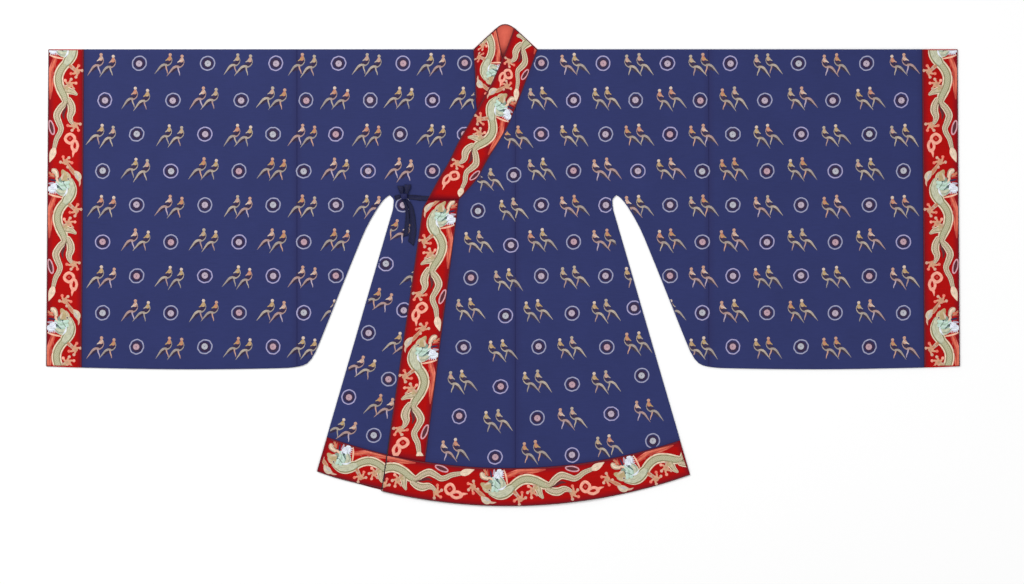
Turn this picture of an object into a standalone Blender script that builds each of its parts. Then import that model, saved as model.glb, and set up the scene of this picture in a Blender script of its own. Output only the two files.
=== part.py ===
"""Cross-collar hanfu robe with wide sleeves, laid flat on its back with the wearer's left front on top.

Sizes are in millimetres and become metres as each mesh is made. A point of the cloth is (x, depth, z):
x runs from the centre line, + towards the wearer's left, depth runs down from the shoulder fold,
and z is the height of the middle of the cloth above the surface that the robe lies on.
"""

import math

import bmesh
import bpy

MM = 0.001

# ---- driving sizes ----
WALL = 1.2  # lined silk brocade, as one wall
LAYER = 1.5  # from the middle of one layer to the middle of the next: the wall and 0.3 of air
SEAM = 0.3  # between two pieces sewn edge to edge
HALF_SEAM = SEAM / 2
SLANT_SEAM = 0.45  # the same seam measured along x where its line slants
ARC_STEPS = 4  # flat faces round each folded edge

HEM_DEPTH = 1095.6  # lowest point of the hem
ROOF_RISE = 61.0  # collar's back neck above the shoulder fold
HEM_RADIUS = 1308.0  # the hem is one arc
HEM_CENTRE = 12.7
HEM_BAND = 91.0
BACK_HEM_LIFT = 3.0  # the back ends just inside the front hem
SHOULDER_Y = (HEM_DEPTH - ROOF_RISE) / 2  # puts the middle of the robe at y = 0

ARMPIT_X, ARMPIT_DEPTH = 272.0, 349.0
SLEEVE_SEAM = 494.0  # a sleeve is sewn to the body cloth here
CUFF_SEAM_TOP, CUFF_SEAM_LOW = 1005.0, 1010.5
CUFF_EDGE_TOP, CUFF_EDGE_LOW = 1090.5, 1096.0
CUFF_DEPTH = 760.0
OUTER_CENTRE_SEAM = 30.0  # the outer overlap is sewn to the left front here
COLLAR_END = 361.0  # the collar stops on this level line
RAMP_START, RAMP_LENGTH = 46.0, 60.0  # how the outer front comes down past the inner front's edge

BACK_Z = WALL / 2
INNER_Z = BACK_Z + LAYER
OUTER_Z = INNER_Z + LAYER

NAVY = (0.034, 0.037, 0.138)
RED = (0.479, 0.006, 0.006)
TIE_NAVY = (0.019, 0.021, 0.091)


def table(columns, *rows):
    """Rows of numbers under named columns."""
    return [dict(zip(columns.split(), row)) for row in rows]


# Underarm: from the armpit, down the hanging edge of the sleeve and along its bottom to the cuff.
UNDERARM = table(
    "x depth",
    (272, 349),
    (281, 355),
    (292, 367),
    (311, 396),
    (331, 433),
    (355, 490),
    (403, 609),
    (439, 699),
    (451, 727),
    (463, 746),
    (475, 756),
    (494, 761),
    (523, 764),
    (749, 767),
    (1010, 763),
    (1097, 760),
)

# Side seam: from the armpit out to the corner of the hem.
SIDE = table("depth x", (349, 272), (361, 262), (385, 264), (1040, 454.5))

# Collar arms: the sewn edge carries the depth; the free edge runs inside it.
# The outer arm is on the wearer's left at the neck.
ARMS = table(
    "depth outer_sewn outer_free outer_free_depth inner_sewn inner_free inner_free_depth",
    (33, 71, 10, -6, -69, -3, 12),
    (64, 59.5, -1, 22, -67, 6, 45),
    (121, 38, -27, 80, -65, 10, 92),
    (140, 30, -36, 98, -63, 12, 110),
    (179, 14, -54, 130, -56, 20, 145),
    (222, -10, -80, 176, -42, 34, 188),
    (265, -37, -107, 222, -20, 54, 228),
    (310, -62, -131, 272, 10, 82, 272),
    (340, -87, -155, 312, 32, 103, 312),
    (361, -106, -181, 361, 50, 125, 361),
)

# Back of the neck: the collar's free edge from the wearer's right to the left, over the peak of the roof.
ROOF = table("x depth", (-10, -56), (-5, -59), (0, -60.5), (5, -61), (10, -60.5), (15, -59), (21, -56))
NECK_DIP = 24.0  # the back neckline is cut this far below the shoulder fold
NECK_DEPTHS = (9, 17, 22)
FOOT = {"left": 83.0, "right": -71.0}  # where the collar leaves the shoulder fold
FOLD_TOP = {"left": (27.0, -52.0), "right": (-16.0, -51.0)}

# Outer front edge: the red band's free edge and the line where it is sewn to the overlap.
FRONT_BAND = table("depth edge seam", (361, -181, -106), (385, -193, -109), (1060, -292, -196))

# Free edge of the inner front, under the outer one.
INNER_EDGE = table(
    "depth x",
    (-60, -20),
    (12, -3),
    (45, 6),
    (110, 12),
    (145, 20),
    (188, 34),
    (228, 54),
    (272, 82),
    (312, 103),
    (361, 125),
    (1100, 180),
)

SIGN = {"left": 1, "right": -1}
FRONT_DEPTHS = (0, 33, 64, 121, 140, 179, 222, 265, 310, 349)
BACK_DEPTHS = (0, *(depth + SEAM for depth in (*NECK_DEPTHS, NECK_DIP)), 121, 222, 349)
SKIRT_STEPS = (0, 0.02, 0.06, 0.25, 0.45, 0.65, 0.83, 1)  # rows of the skirt, as shares of its height
BODY_COLUMNS = 9
ARM_COLUMNS = [row["x"] for row in UNDERARM if ARMPIT_X < row["x"] < SLEEVE_SEAM] + [SLEEVE_SEAM - HALF_SEAM]
OVERLAP_COLUMNS = 5
OVERLAP_TIP = 146.0  # depth where the overlap's upper corner begins
SLEEVE_COLUMNS = (SLEEVE_SEAM, 523, 600, 700, 800, 900)
SLEEVE_FRONT_STEPS = (0, 0.2, 0.4, 0.6, 0.8, 1)
SLEEVE_BACK_STEPS = (1, 0.66, 0.33, 0)

# The bow, on the wearer's right front beside the armpit.
KNOT_X, KNOT_DEPTH = -237.0, 353.0
KNOT_SIZE = (17.0, 15.0, 8.0)
TIE_WALL = 1.0


def value(rows, key, column, at):
    """Column of a table at one value of its key, with straight lines between rows."""
    for low, high in zip(rows, rows[1:]):
        if at <= high[key]:
            break
    share = (at - low[key]) / (high[key] - low[key])
    return low[column] + share * (high[column] - low[column])


def ease(share):
    share = min(max(share, 0.0), 1.0)
    return share * share * (3 - 2 * share)


def hem_depth(x):
    return HEM_DEPTH - HEM_RADIUS + math.sqrt(HEM_RADIUS**2 - (x - HEM_CENTRE) ** 2)


def band_top(x):
    return hem_depth(x) - HEM_BAND


def side_x(depth):
    return value(SIDE, "depth", "x", depth)


def underarm(x):
    return value(UNDERARM, "x", "depth", x)


def inner_edge(depth):
    return value(INNER_EDGE, "depth", "x", depth)


def outer_height(x, depth):
    """Middle of the outer front: on the inner front, then eased down onto the back past its edge."""
    return OUTER_Z - LAYER * ease((x - inner_edge(depth) - RAMP_START) / RAMP_LENGTH)


def inner_height(x, depth):
    return INNER_Z


def back_height(x, depth):
    return BACK_Z


# ---- making solids ----
def material(name, colour, roughness):
    made = bpy.data.materials.new(name)
    made.use_nodes = True
    shader = made.node_tree.nodes["Principled BSDF"]
    shader.inputs["Base Color"].default_value = (*colour, 1)
    shader.inputs["Roughness"].default_value = roughness
    made.diffuse_color = (*colour, 1)
    return made


def place(point):
    x, depth, z = point
    return (x * MM, (SHOULDER_Y - depth) * MM, z * MM)


def cloth(name, patches, colour, wall=WALL, closed=False):
    """A wall over one or more grids of points. Grids that share an edge are joined along it."""
    shape = bmesh.new()
    for rows in patches:
        grid = [[shape.verts.new(place(point)) for point in row] for row in rows]
        for near, far in zip(grid, grid[1:]):
            if closed:
                near, far = near + near[:1], far + far[:1]
            for a, b, c, d in zip(near, near[1:], far[1:], far):
                shape.faces.new((a, b, c, d))
    bmesh.ops.remove_doubles(shape, verts=shape.verts, dist=0.01 * MM)
    bmesh.ops.recalc_face_normals(shape, faces=shape.faces)
    mesh = bpy.data.meshes.new(name)
    shape.to_mesh(mesh)
    shape.free()
    mesh.shade_smooth()
    mesh.set_sharp_from_angle(angle=math.radians(40))
    mesh.materials.append(material(name, colour, 0.7))
    solid = bpy.data.objects.new(name, mesh)
    wall_maker = solid.modifiers.new("wall", "SOLIDIFY")
    wall_maker.thickness = wall * MM
    wall_maker.offset = 0
    wall_maker.use_even_offset = True
    robe.objects.link(solid)
    return solid


def panel(lefts, rights, top, bottom, height, steps, shares):
    """Grid between two side lines (x from depth) and two end lines (depth from x)."""
    rows = []
    for step in steps:
        row = []
        for share in shares:
            depth = top(0) + step * (bottom(0) - top(0))
            for _ in range(8):
                x = lefts(depth) + share * (rights(depth) - lefts(depth))
                depth = top(x) + step * (bottom(x) - top(x))
            row.append((x, depth, height(x, depth)))
        rows.append(row)
    return rows


def even(count):
    return [i / count for i in range(count + 1)]


def level(depth):
    return lambda x: depth


def upright(x):
    return lambda depth: x


def fold(top_points, outward):
    """Rows of a rounded folded edge, from the upper layer's edge round to the back layer's.

    The points lie on the outline, and each row starts and ends inside it by the fold's radius.
    """
    rows = []
    for step in range(ARC_STEPS + 1):
        angle = math.pi * step / ARC_STEPS
        row = []
        for (x, depth, z), (out_x, out_depth) in zip(top_points, outward):
            radius = (z - BACK_Z) / 2
            inward = radius * (1 - math.sin(angle))
            height = BACK_Z + radius * (1 + math.cos(angle))
            row.append((x - inward * out_x, depth - inward * out_depth, height))
        rows.append(row)
    return rows


def outward_normals(points, side):
    """Unit normals of a path on the plan, on the given side of it (+1 or -1)."""
    normals = []
    for i in range(len(points)):
        before, after = points[max(i - 1, 0)], points[min(i + 1, len(points) - 1)]
        along_x, along_depth = after[0] - before[0], after[1] - before[1]
        length = math.hypot(along_x, along_depth)
        normals.append((side * along_depth / length, -side * along_x / length))
    return normals


# ---- body: front, back and the head of the sleeve in one cloth, folded over the shoulder ----
def neck_x(side, depth):
    """Back neckline: a quarter of an ellipse from the collar's foot down to the centre back seam."""
    return FOOT[side] * math.sqrt(max(1 - (depth / NECK_DIP) ** 2, 0))


def back_inner(side, depth):
    """Inner line of a back: just outside the collar, then the centre back seam."""
    return neck_x(side, max(depth - SEAM, 0)) + SIGN[side] * HALF_SEAM


def arm_sewn_x(side, depth):
    """Sewn edge of a collar arm, from the foot on the shoulder fold down to the collar's end."""
    column = "outer_sewn" if side == "left" else "inner_sewn"
    first = ARMS[0]
    if depth < first["depth"]:
        return FOOT[side] + depth / first["depth"] * (first[column] - FOOT[side])
    return value(ARMS, "depth", column, depth)


def front_inner(side, depth):
    """Inner line of a front: the collar's sewn edge, then the seam to the overlap."""
    if side == "left":
        return max(arm_sewn_x(side, depth) + SLANT_SEAM, OUTER_CENTRE_SEAM + HALF_SEAM)
    return min(arm_sewn_x(side, depth) - SLANT_SEAM, -HALF_SEAM)


def upper_rows(side, inner, height, depths):
    """A body cloth from the shoulder to the armpit's level, and on down the hanging edge to the sleeve seam."""
    sign = SIGN[side]
    rows = []
    for depth in depths:
        inner_x = sign * inner(side, depth)
        row = [(inner_x + share * (ARMPIT_X - inner_x), depth) for share in even(BODY_COLUMNS)]
        row += [(x, depth / ARMPIT_DEPTH * underarm(x)) for x in ARM_COLUMNS]
        rows.append([(sign * x, down, height(sign * x, down)) for x, down in row])
    return rows


def skirt_rows(side, inner, height):
    """A body cloth from the armpit's level down to the hem band."""
    return panel(
        upright(inner(side, ARMPIT_DEPTH)),
        lambda depth: SIGN[side] * side_x(depth),
        level(ARMPIT_DEPTH),
        lambda x: band_top(x) - HALF_SEAM,
        height,
        SKIRT_STEPS,
        even(BODY_COLUMNS),
    )


def body_half(side):
    front_height = outer_height if side == "left" else inner_height
    front_top = upper_rows(side, front_inner, front_height, FRONT_DEPTHS)
    front_skirt = skirt_rows(side, front_inner, front_height)
    back_top = upper_rows(side, back_inner, back_height, BACK_DEPTHS)
    back_skirt = skirt_rows(side, back_inner, back_height)

    # The shoulder fold: both layers reach the same outline, at depth 0.
    shoulder = fold(front_top[0], [(0, -1)] * len(front_top[0]))
    front_top[0], back_top[0] = shoulder[0], shoulder[-1]

    # The underarm and side seam: one line from the sleeve seam to the armpit and down to the hem band.
    arm_count = len(ARM_COLUMNS)
    line = front_top[-1][: -arm_count - 1 : -1] + [row[-1] for row in front_skirt]
    under = fold(line, outward_normals(line, SIGN[side]))
    for top, skirt, edge in ((front_top, front_skirt, under[0]), (back_top, back_skirt, under[-1])):
        top[-1][-arm_count:] = edge[arm_count - 1 :: -1]
        top[-1][BODY_COLUMNS] = edge[arm_count]
        for row, point in zip(skirt, edge[arm_count:]):
            row[-1] = point
    patches = [front_top, front_skirt, back_top, back_skirt, shoulder, under]
    return cloth("body_" + side, patches, NAVY)


# ---- sleeves and cuffs: flattened tubes ----
def cuff_line(top, low, depth):
    return top + (low - top) * depth / CUFF_DEPTH


def tube(name, side, start, end, shares, colour):
    """A flattened tube between two lines across the sleeve, each x from depth."""
    radius = LAYER / 2
    turn = [math.pi * i / ARC_STEPS for i in range(1, ARC_STEPS)]
    sections = []
    for share in shares:

        def across(depth):
            return start(depth) + share * (end(depth) - start(depth))

        low = underarm(across(CUFF_DEPTH)) - radius
        ring = [(radius + step * (low - radius), INNER_Z) for step in SLEEVE_FRONT_STEPS]
        ring += [(low + radius * math.sin(angle), BACK_Z + radius * (1 + math.cos(angle))) for angle in turn]
        ring += [(radius + step * (low - radius), BACK_Z) for step in SLEEVE_BACK_STEPS]
        ring += [(radius - radius * math.sin(angle), BACK_Z + radius * (1 - math.cos(angle))) for angle in turn]
        sections.append([(SIGN[side] * across(depth), depth, z) for depth, z in ring])
    return cloth(name, [sections], colour, closed=True)


def sleeve(side):
    reach = CUFF_SEAM_LOW - SLEEVE_SEAM
    shares = [(x - SLEEVE_SEAM) / reach for x in SLEEVE_COLUMNS] + [1]
    return tube(
        "sleeve_" + side,
        side,
        upright(SLEEVE_SEAM + HALF_SEAM),
        lambda depth: cuff_line(CUFF_SEAM_TOP, CUFF_SEAM_LOW, depth) - HALF_SEAM,
        shares,
        NAVY,
    )


def cuff(side):
    return tube(
        "cuff_" + side,
        side,
        lambda depth: cuff_line(CUFF_SEAM_TOP, CUFF_SEAM_LOW, depth) + HALF_SEAM,
        lambda depth: cuff_line(CUFF_EDGE_TOP, CUFF_EDGE_LOW, depth),
        even(2),
        RED,
    )


# ---- collar: one ribbon, up the inner arm, round the back of the neck and down the outer arm ----
def ribbon_section(sewn, free, height, columns=3):
    row = []
    for i in range(columns + 1):
        share = i / columns
        x, depth = (s + share * (f - s) for s, f in zip(sewn, free))
        row.append((x, depth, height(x, depth)))
    return row


def collar_fold(side, height):
    """The ribbon turns from the back of the neck to an arm along one slope of the roof."""
    line = ribbon_section((FOOT[side], 0), FOLD_TOP[side], height)
    return fold(line, outward_normals(line, -SIGN[side]))


def collar_arm(name, height):
    """Sections of one arm, from the fold down to the collar's end."""
    sections = []
    for row in ARMS:
        gap = HALF_SEAM if row["depth"] == COLLAR_END else 0
        sewn = (row[name + "_sewn"], row["depth"] - gap)
        free = (row[name + "_free"], row[name + "_free_depth"] - gap)
        sections.append(ribbon_section(sewn, free, height))
    return sections


def collar():
    neck = [("right", depth) for depth in NECK_DEPTHS] + [("left", NECK_DIP)]
    neck += [("left", depth) for depth in reversed(NECK_DEPTHS)]
    back = [
        ribbon_section((neck_x(side, depth), depth), (roof["x"], roof["depth"]), back_height)
        for (side, depth), roof in zip(neck, ROOF)
    ]
    sections = collar_arm("inner", inner_height)[::-1] + collar_fold("right", inner_height)
    sections += back + collar_fold("left", outer_height)[::-1] + collar_arm("outer", outer_height)
    return cloth("collar", [sections], RED)


# ---- overlaps and red bands ----
def band_seam(depth):
    """Where the collar, then the front band, is sewn to the outer overlap."""
    if depth < COLLAR_END:
        return arm_sewn_x("left", depth)
    return value(FRONT_BAND, "depth", "seam", depth)


def overlap_outer():
    upper = []
    for depth in (OVERLAP_TIP, 179, 222, 265, 310, 340, COLLAR_END):
        left = band_seam(depth) + SLANT_SEAM
        right = OUTER_CENTRE_SEAM - HALF_SEAM
        xs = [left + share * (right - left) for share in even(OVERLAP_COLUMNS)]
        upper.append([(x, depth, outer_height(x, depth)) for x in xs])
    lower = panel(
        lambda depth: band_seam(depth) + SLANT_SEAM,
        upright(OUTER_CENTRE_SEAM - HALF_SEAM),
        level(COLLAR_END),
        lambda x: band_top(x) - HALF_SEAM,
        outer_height,
        even(6),
        even(OVERLAP_COLUMNS),
    )
    return cloth("overlap_outer", [upper, lower], NAVY)


def overlap_inner():
    """Under the outer front: it joins the right front at the centre and ends at its own free edge."""
    collar_share = 0.4  # the collar's end leaves this share of the top edge to the navy cloth
    upper = []
    for depth in (312, 340, COLLAR_END):
        left, right = HALF_SEAM, arm_sewn_x("right", depth) - SLANT_SEAM
        if depth == COLLAR_END:
            right = left + collar_share * (inner_edge(depth) - left)
        upper.append([(left + share * (right - left), depth, INNER_Z) for share in even(2)])
    lower = panel(
        upright(HALF_SEAM),
        inner_edge,
        level(COLLAR_END),
        lambda x: band_top(x) - HALF_SEAM,
        inner_height,
        even(4),
        (0, collar_share / 2, collar_share, 0.7, 1),
    )
    return cloth("overlap_inner", [upper, lower], NAVY)


def front_band():
    rows = panel(
        lambda depth: value(FRONT_BAND, "depth", "edge", depth),
        lambda depth: value(FRONT_BAND, "depth", "seam", depth),
        level(COLLAR_END + HALF_SEAM),
        lambda x: band_top(x) - HALF_SEAM,
        outer_height,
        (0, 24 / 640, 0.25, 0.5, 0.75, 1),
        even(2),
    )
    return cloth("front_band", [rows], RED)


def hem_band(name, lefts, rights, height, lift, columns):
    """One arc-shaped band sewn below a panel's lower edge."""
    rows = panel(
        lefts,
        rights,
        lambda x: band_top(x) + HALF_SEAM,
        lambda x: hem_depth(x) - lift,
        height,
        even(2),
        even(columns),
    )
    return cloth(name, [rows], RED)


# ---- the tie and its bow ----
def ribbon(name, path, widths, heights):
    """A flat ribbon along a path on the plan, with a width and a height at each point."""
    normals = outward_normals([(x, depth) for x, depth in path], 1)
    rows = []
    for (x, depth), (out_x, out_depth), width, z in zip(path, normals, widths, heights):
        rows.append(
            [(x + share * width * out_x, depth + share * width * out_depth, z) for share in (-0.5, 0, 0.5)]
        )
    return cloth(name, [rows], TIE_NAVY, wall=TIE_WALL)


def tie_loop(name, lean, length, width):
    """A flattened loop of ribbon that stands out of the top of the knot."""
    low, radius = INNER_Z + WALL / 2 + SEAM + TIE_WALL / 2, 1.6
    root = KNOT_DEPTH - KNOT_SIZE[1] / 2 - 0.4
    shift = math.copysign(5.2, lean)
    profile = [(0.0, 0.0)] + [(length * share, 0.0) for share in (0.35, 0.7)]
    profile += [
        (length + radius * math.sin(angle), radius * (1 - math.cos(angle)))
        for angle in (math.pi * i / ARC_STEPS for i in range(ARC_STEPS + 1))
    ]
    profile += [(length * share, 2 * radius) for share in (0.7, 0.35, 0.0)]
    rows = []
    for out, up in profile:
        spread = width * (0.62 + 0.38 * ease(out / (0.6 * length)))
        middle = KNOT_X + shift + lean * out
        rows.append([(middle + share * spread, root - out, low + up) for share in (-0.5, 0, 0.5)])
    return cloth(name, [rows], TIE_NAVY, wall=TIE_WALL)


def tie_knot():
    width, height, thick = KNOT_SIZE
    shape = bmesh.new()
    bmesh.ops.create_cube(shape, size=1)
    bottom = INNER_Z + WALL / 2 + SEAM
    for vertex in shape.verts:
        x, y, z = vertex.co
        vertex.co = place((KNOT_X + x * width, KNOT_DEPTH - y * height, bottom + (z + 0.5) * thick))
    mesh = bpy.data.meshes.new("tie_knot")
    shape.to_mesh(mesh)
    shape.free()
    mesh.materials.append(material("tie_knot", TIE_NAVY, 0.7))
    knot = bpy.data.objects.new("tie_knot", mesh)
    rounded = knot.modifiers.new("rounded", "BEVEL")
    rounded.width = 2.6 * MM
    rounded.segments = 3
    robe.objects.link(knot)
    return knot


def tie():
    on_inner = INNER_Z + WALL / 2 + SEAM + TIE_WALL / 2
    knot_right = KNOT_X + KNOT_SIZE[0] / 2 + 0.3
    knot_left = KNOT_X - KNOT_SIZE[0] / 2 - 0.3
    knot_low = KNOT_DEPTH + KNOT_SIZE[1] / 2 + 0.3
    band_edge = value(FRONT_BAND, "depth", "edge", COLLAR_END)
    ribbon(
        "tie_strap_front",
        [(band_edge - 1.2, 358), (-196, 357), (-212, 355), (knot_right + 4, 354), (knot_right, 354)],
        (12, 12, 11.5, 10.5, 10),
        (on_inner,) * 5,
    )
    ribbon(
        "tie_strap_side",
        [(knot_left, 354), (knot_left - 3, 354), (-252, 355), (-259, 357)],
        (9, 9.5, 10.5, 11.5),
        (on_inner,) * 4,
    )
    ribbon(
        "tie_tail_front",
        [(KNOT_X + 5.2, knot_low), (-223, 374), (-218.5, 392), (-216, 412), (-215.5, 432), (-218, 452), (-221, 466)],
        (6, 9.5, 11.5, 13, 14.5, 15, 15),
        (on_inner,) * 7,
    )
    ribbon(
        "tie_tail_side",
        [(KNOT_X - 1.8, knot_low), (-233, 374), (-229.5, 392), (-229.5, 412), (-231.5, 432), (-234, 448)],
        (6, 7, 8, 9.5, 11, 11.5),
        (on_inner,) * 6,
    )
    tie_loop("tie_loop_left", 0.16, 25, 15)
    tie_loop("tie_loop_right", -0.16, 22, 14)
    tie_knot()


for old in list(bpy.data.objects):
    bpy.data.objects.remove(old, do_unlink=True)
robe = bpy.data.collections.new("hanfu_robe")
bpy.context.scene.collection.children.link(robe)

for wearer_side in ("left", "right"):
    body_half(wearer_side)
    sleeve(wearer_side)
    cuff(wearer_side)
overlap_inner()
overlap_outer()
collar()
front_band()
hem_band("hem_band_back", lambda depth: -side_x(depth), side_x, back_height, BACK_HEM_LIFT, 20)
hem_band("hem_band_inner", lambda depth: -side_x(depth), inner_edge, inner_height, 0, 14)
hem_band("hem_band_outer", lambda depth: value(FRONT_BAND, "depth", "edge", depth), side_x, outer_height, 0, 18)
tie()
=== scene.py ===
"""Looks of the cross-collar robe: cloth shells on the CAD pieces, raised figures, ribbons and light.

Cloth is laid out in millimetres as (x, depth, z): x from the centre line, + towards the wearer's left,
depth down from the shoulder fold, z up from the surface that the robe lies on.
"""

import math
import random
from bisect import bisect_left

import bmesh
import bpy
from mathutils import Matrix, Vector, noise
from mathutils.kdtree import KDTree


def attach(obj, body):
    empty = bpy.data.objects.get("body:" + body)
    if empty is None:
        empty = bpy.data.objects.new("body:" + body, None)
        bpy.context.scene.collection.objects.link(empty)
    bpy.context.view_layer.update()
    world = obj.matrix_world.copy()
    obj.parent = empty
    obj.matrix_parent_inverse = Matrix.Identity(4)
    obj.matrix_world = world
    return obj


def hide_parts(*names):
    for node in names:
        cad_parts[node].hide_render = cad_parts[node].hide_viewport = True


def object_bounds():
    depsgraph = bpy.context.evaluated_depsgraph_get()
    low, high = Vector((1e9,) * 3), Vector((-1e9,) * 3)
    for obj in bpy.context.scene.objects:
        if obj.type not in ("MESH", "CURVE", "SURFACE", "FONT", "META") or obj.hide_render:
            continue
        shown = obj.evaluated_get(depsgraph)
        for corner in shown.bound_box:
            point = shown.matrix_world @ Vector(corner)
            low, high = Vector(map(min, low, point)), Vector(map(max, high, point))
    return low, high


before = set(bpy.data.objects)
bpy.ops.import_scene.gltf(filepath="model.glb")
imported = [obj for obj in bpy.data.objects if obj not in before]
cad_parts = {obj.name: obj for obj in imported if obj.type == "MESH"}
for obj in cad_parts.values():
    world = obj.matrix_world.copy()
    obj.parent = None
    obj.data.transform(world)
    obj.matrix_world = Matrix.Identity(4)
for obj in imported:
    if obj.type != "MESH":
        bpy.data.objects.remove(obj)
CAD_LOW, CAD_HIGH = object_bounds()

MM = 0.001
PHOTO_MM = 2.4  # one pixel of the photograph on the robe
PHOTO_WIDTH = 1024
PHOTO_CENTRE_X, PHOTO_CENTRE_Y = 512.0, 292.0
ROBE_CENTRE_PX, SHOULDER_PX = 503.0, 49.5  # the robe's centre line and shoulder fold in the photograph
COLLAR_RISE = 61.0  # the collar's top above the shoulder fold
SHOULDER_Y = CAD_HIGH.y / MM - COLLAR_RISE

# ---- sizes of the cut, as in the CAD model ----
WALL, LAYER, SEAM = 1.2, 1.5, 0.3
HEM_DEPTH, HEM_RADIUS, HEM_CENTRE = 1095.6, 1308.0, 12.7  # the hem is one arc
HEM_BAND, BACK_HEM_LIFT = 91.0, 3.0
ARMPIT_X, ARMPIT_DEPTH, SLEEVE_SEAM = 272.0, 349.0, 494.0
CUFF_SEAM_TOP, CUFF_SEAM_LOW = 1005.0, 1010.5
CUFF_EDGE_TOP, CUFF_EDGE_LOW, CUFF_DEPTH = 1090.5, 1096.0, 760.0
OUTER_CENTRE_SEAM, COLLAR_END = 30.0, 361.0
RAMP_START, RAMP_LENGTH = 46.0, 60.0  # how the outer front comes down past the inner front's edge
NECK_DIP = 24.0
BACK_Z = WALL / 2
INNER_Z, OUTER_Z = BACK_Z + LAYER, BACK_Z + 2 * LAYER
SIGN = {"left": 1, "right": -1}

# ---- sizes of the scene's own cloth ----
HALF_SEAM, SLANT_SEAM = 0.05, 0.15  # cloth closes most of the 0.3 that the CAD leaves at its seams
INNER_HEM_LIFT = 6.5  # the inner hem goes under the outer one this much higher
ARC_STEPS, NECK_STEPS = 6, 16  # faces round a folded edge, and along the back of the neck
CLOTH = 0.8  # thickness of the shells
GRID = 8.0  # spacing of the shells' points
EDGE_ROLL, EDGE_DIP = 2.2, 0.3  # a sewn edge turns down over this width, and by this much
EDGE_SHADE_WIDTH = 13.0  # painted shade: cloth is darker this far in from its borders
FIGURE_RISE = 0.42  # birds and roundels stand this far off the cloth


def table(columns, *rows):
    """Rows of values under named columns; lengths are in mm."""
    return [dict(zip(columns.split(), row)) for row in rows]


# From the armpit down the hanging edge of the sleeve and along its bottom to the cuff.
UNDERARM = table(
    "x depth",
    (272, 349), (281, 355), (292, 367), (311, 396), (331, 433), (355, 490), (403, 609), (439, 699),
    (451, 727), (463, 746), (475, 756), (494, 761), (523, 764), (749, 767), (1010, 763), (1097, 760),
)
SIDE = table("depth x", (349, 272), (361, 262), (385, 264), (400, 268.4), (700, 355.6), (1040, 454.5))
ARMS = table(
    "depth outer_sewn outer_free outer_free_depth inner_sewn inner_free inner_free_depth",
    (0, 83, 27, -52, -71, -16, -51),
    (33, 71, 10, -6, -69, -3, 12),
    (64, 59.5, -1, 22, -67, 6, 45),
    (121, 38, -27, 80, -65, 10, 92),
    (140, 30, -36, 98, -63, 12, 110),
    (179, 14, -54, 130, -56, 20, 145),
    (222, -10, -80, 176, -42, 34, 188),
    (265, -37, -107, 222, -20, 54, 228),
    (310, -62, -131, 272, 10, 82, 272),
    (340, -87, -155, 312, 32, 103, 312),
    (361, -106, -181, 361, 50, 125, 361),
)
ROOF = table(
    "x depth",
    (-16, -51), (-10, -56), (-5, -59), (0, -60.5), (5, -61), (10, -60.5), (15, -59), (21, -56),
    (27, -52),
)
FRONT_BAND = table(
    "depth edge seam",
    (361, -181, -106), (385, -193, -109), (400, -195.2, -110.9), (700, -239.2, -149.6),
    (1060, -292, -196),
)
INNER_EDGE = table(
    "depth x",
    (-60, -20), (12, -3), (45, 6), (110, 12), (145, 20), (188, 34), (228, 54), (272, 82), (312, 103),
    (361, 125), (400, 127.9), (700, 150.2), (1100, 180),
)

# Soft ridges and troughs in the front: middle, direction, size and rise.
CREASES = table(
    "x depth turn length width rise",
    (-330, 330, 62, 260, 34, 0.9),
    (-372, 470, 74, 210, 26, -0.6),
    (-640, 420, 83, 420, 60, 0.7),
    (-820, 250, 95, 330, 48, -0.5),
    (-905, 560, 88, 260, 40, 0.6),
    (-520, 140, 20, 300, 44, 0.5),
    (335, 345, 118, 250, 36, 0.9),
    (390, 500, 104, 200, 26, -0.6),
    (610, 300, 97, 380, 56, 0.7),
    (790, 540, 84, 300, 46, -0.5),
    (900, 230, 92, 280, 42, 0.6),
    (540, 120, 160, 320, 46, 0.5),
    (190, 620, 84, 420, 52, 0.8),
    (90, 800, 92, 330, 44, -0.6),
    (300, 860, 76, 250, 36, 0.7),
    (-40, 640, 97, 360, 46, 0.7),
    (-300, 720, 100, 260, 34, 0.5),
    (150, 240, 70, 260, 46, 0.6),
    (-190, 200, 128, 240, 40, 0.6),
)


def value(rows, key, column, at):
    """Column of a table at one value of its key, on a smooth curve that never overshoots its rows."""
    keys = [row[key] for row in rows]
    low = min(max(bisect_left(keys, at) - 1, 0), len(rows) - 2)

    def chord(i):
        return (rows[i + 1][column] - rows[i][column]) / (keys[i + 1] - keys[i])

    def slope(i):
        if i == 0 or i == len(rows) - 1:
            return chord(min(i, len(rows) - 2))
        before, after = chord(i - 1), chord(i)
        if before * after <= 0:
            return 0.0
        wide, narrow = keys[i + 1] - keys[i], keys[i] - keys[i - 1]
        total = 3 * (wide + narrow)
        return total / ((2 * wide + narrow) / before + (wide + 2 * narrow) / after)

    span = keys[low + 1] - keys[low]
    t = (at - keys[low]) / span
    start, end = rows[low][column], rows[low + 1][column]
    if t < 0 or t > 1:
        return start + chord(low) * (at - keys[low])
    a, b = slope(low) * span, slope(low + 1) * span
    ends = (2 * t**3 - 3 * t**2 + 1) * start + (t**3 - 2 * t**2 + t) * a
    return ends + (3 * t**2 - 2 * t**3) * end + (t**3 - t**2) * b


def ease(share):
    share = min(max(share, 0.0), 1.0)
    return share * share * (3 - 2 * share)


def hem_depth(x):
    return HEM_DEPTH - HEM_RADIUS + math.sqrt(HEM_RADIUS**2 - (x - HEM_CENTRE) ** 2)


def back_hem_depth(x):
    return hem_depth(x) - BACK_HEM_LIFT


def inner_hem_depth(x):
    """The inner hem hangs a little higher than the outer one where it goes under it."""
    return hem_depth(x) - INNER_HEM_LIFT * ease((x + 430) / 150)


def band_top(x):
    return hem_depth(x) - HEM_BAND


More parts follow.
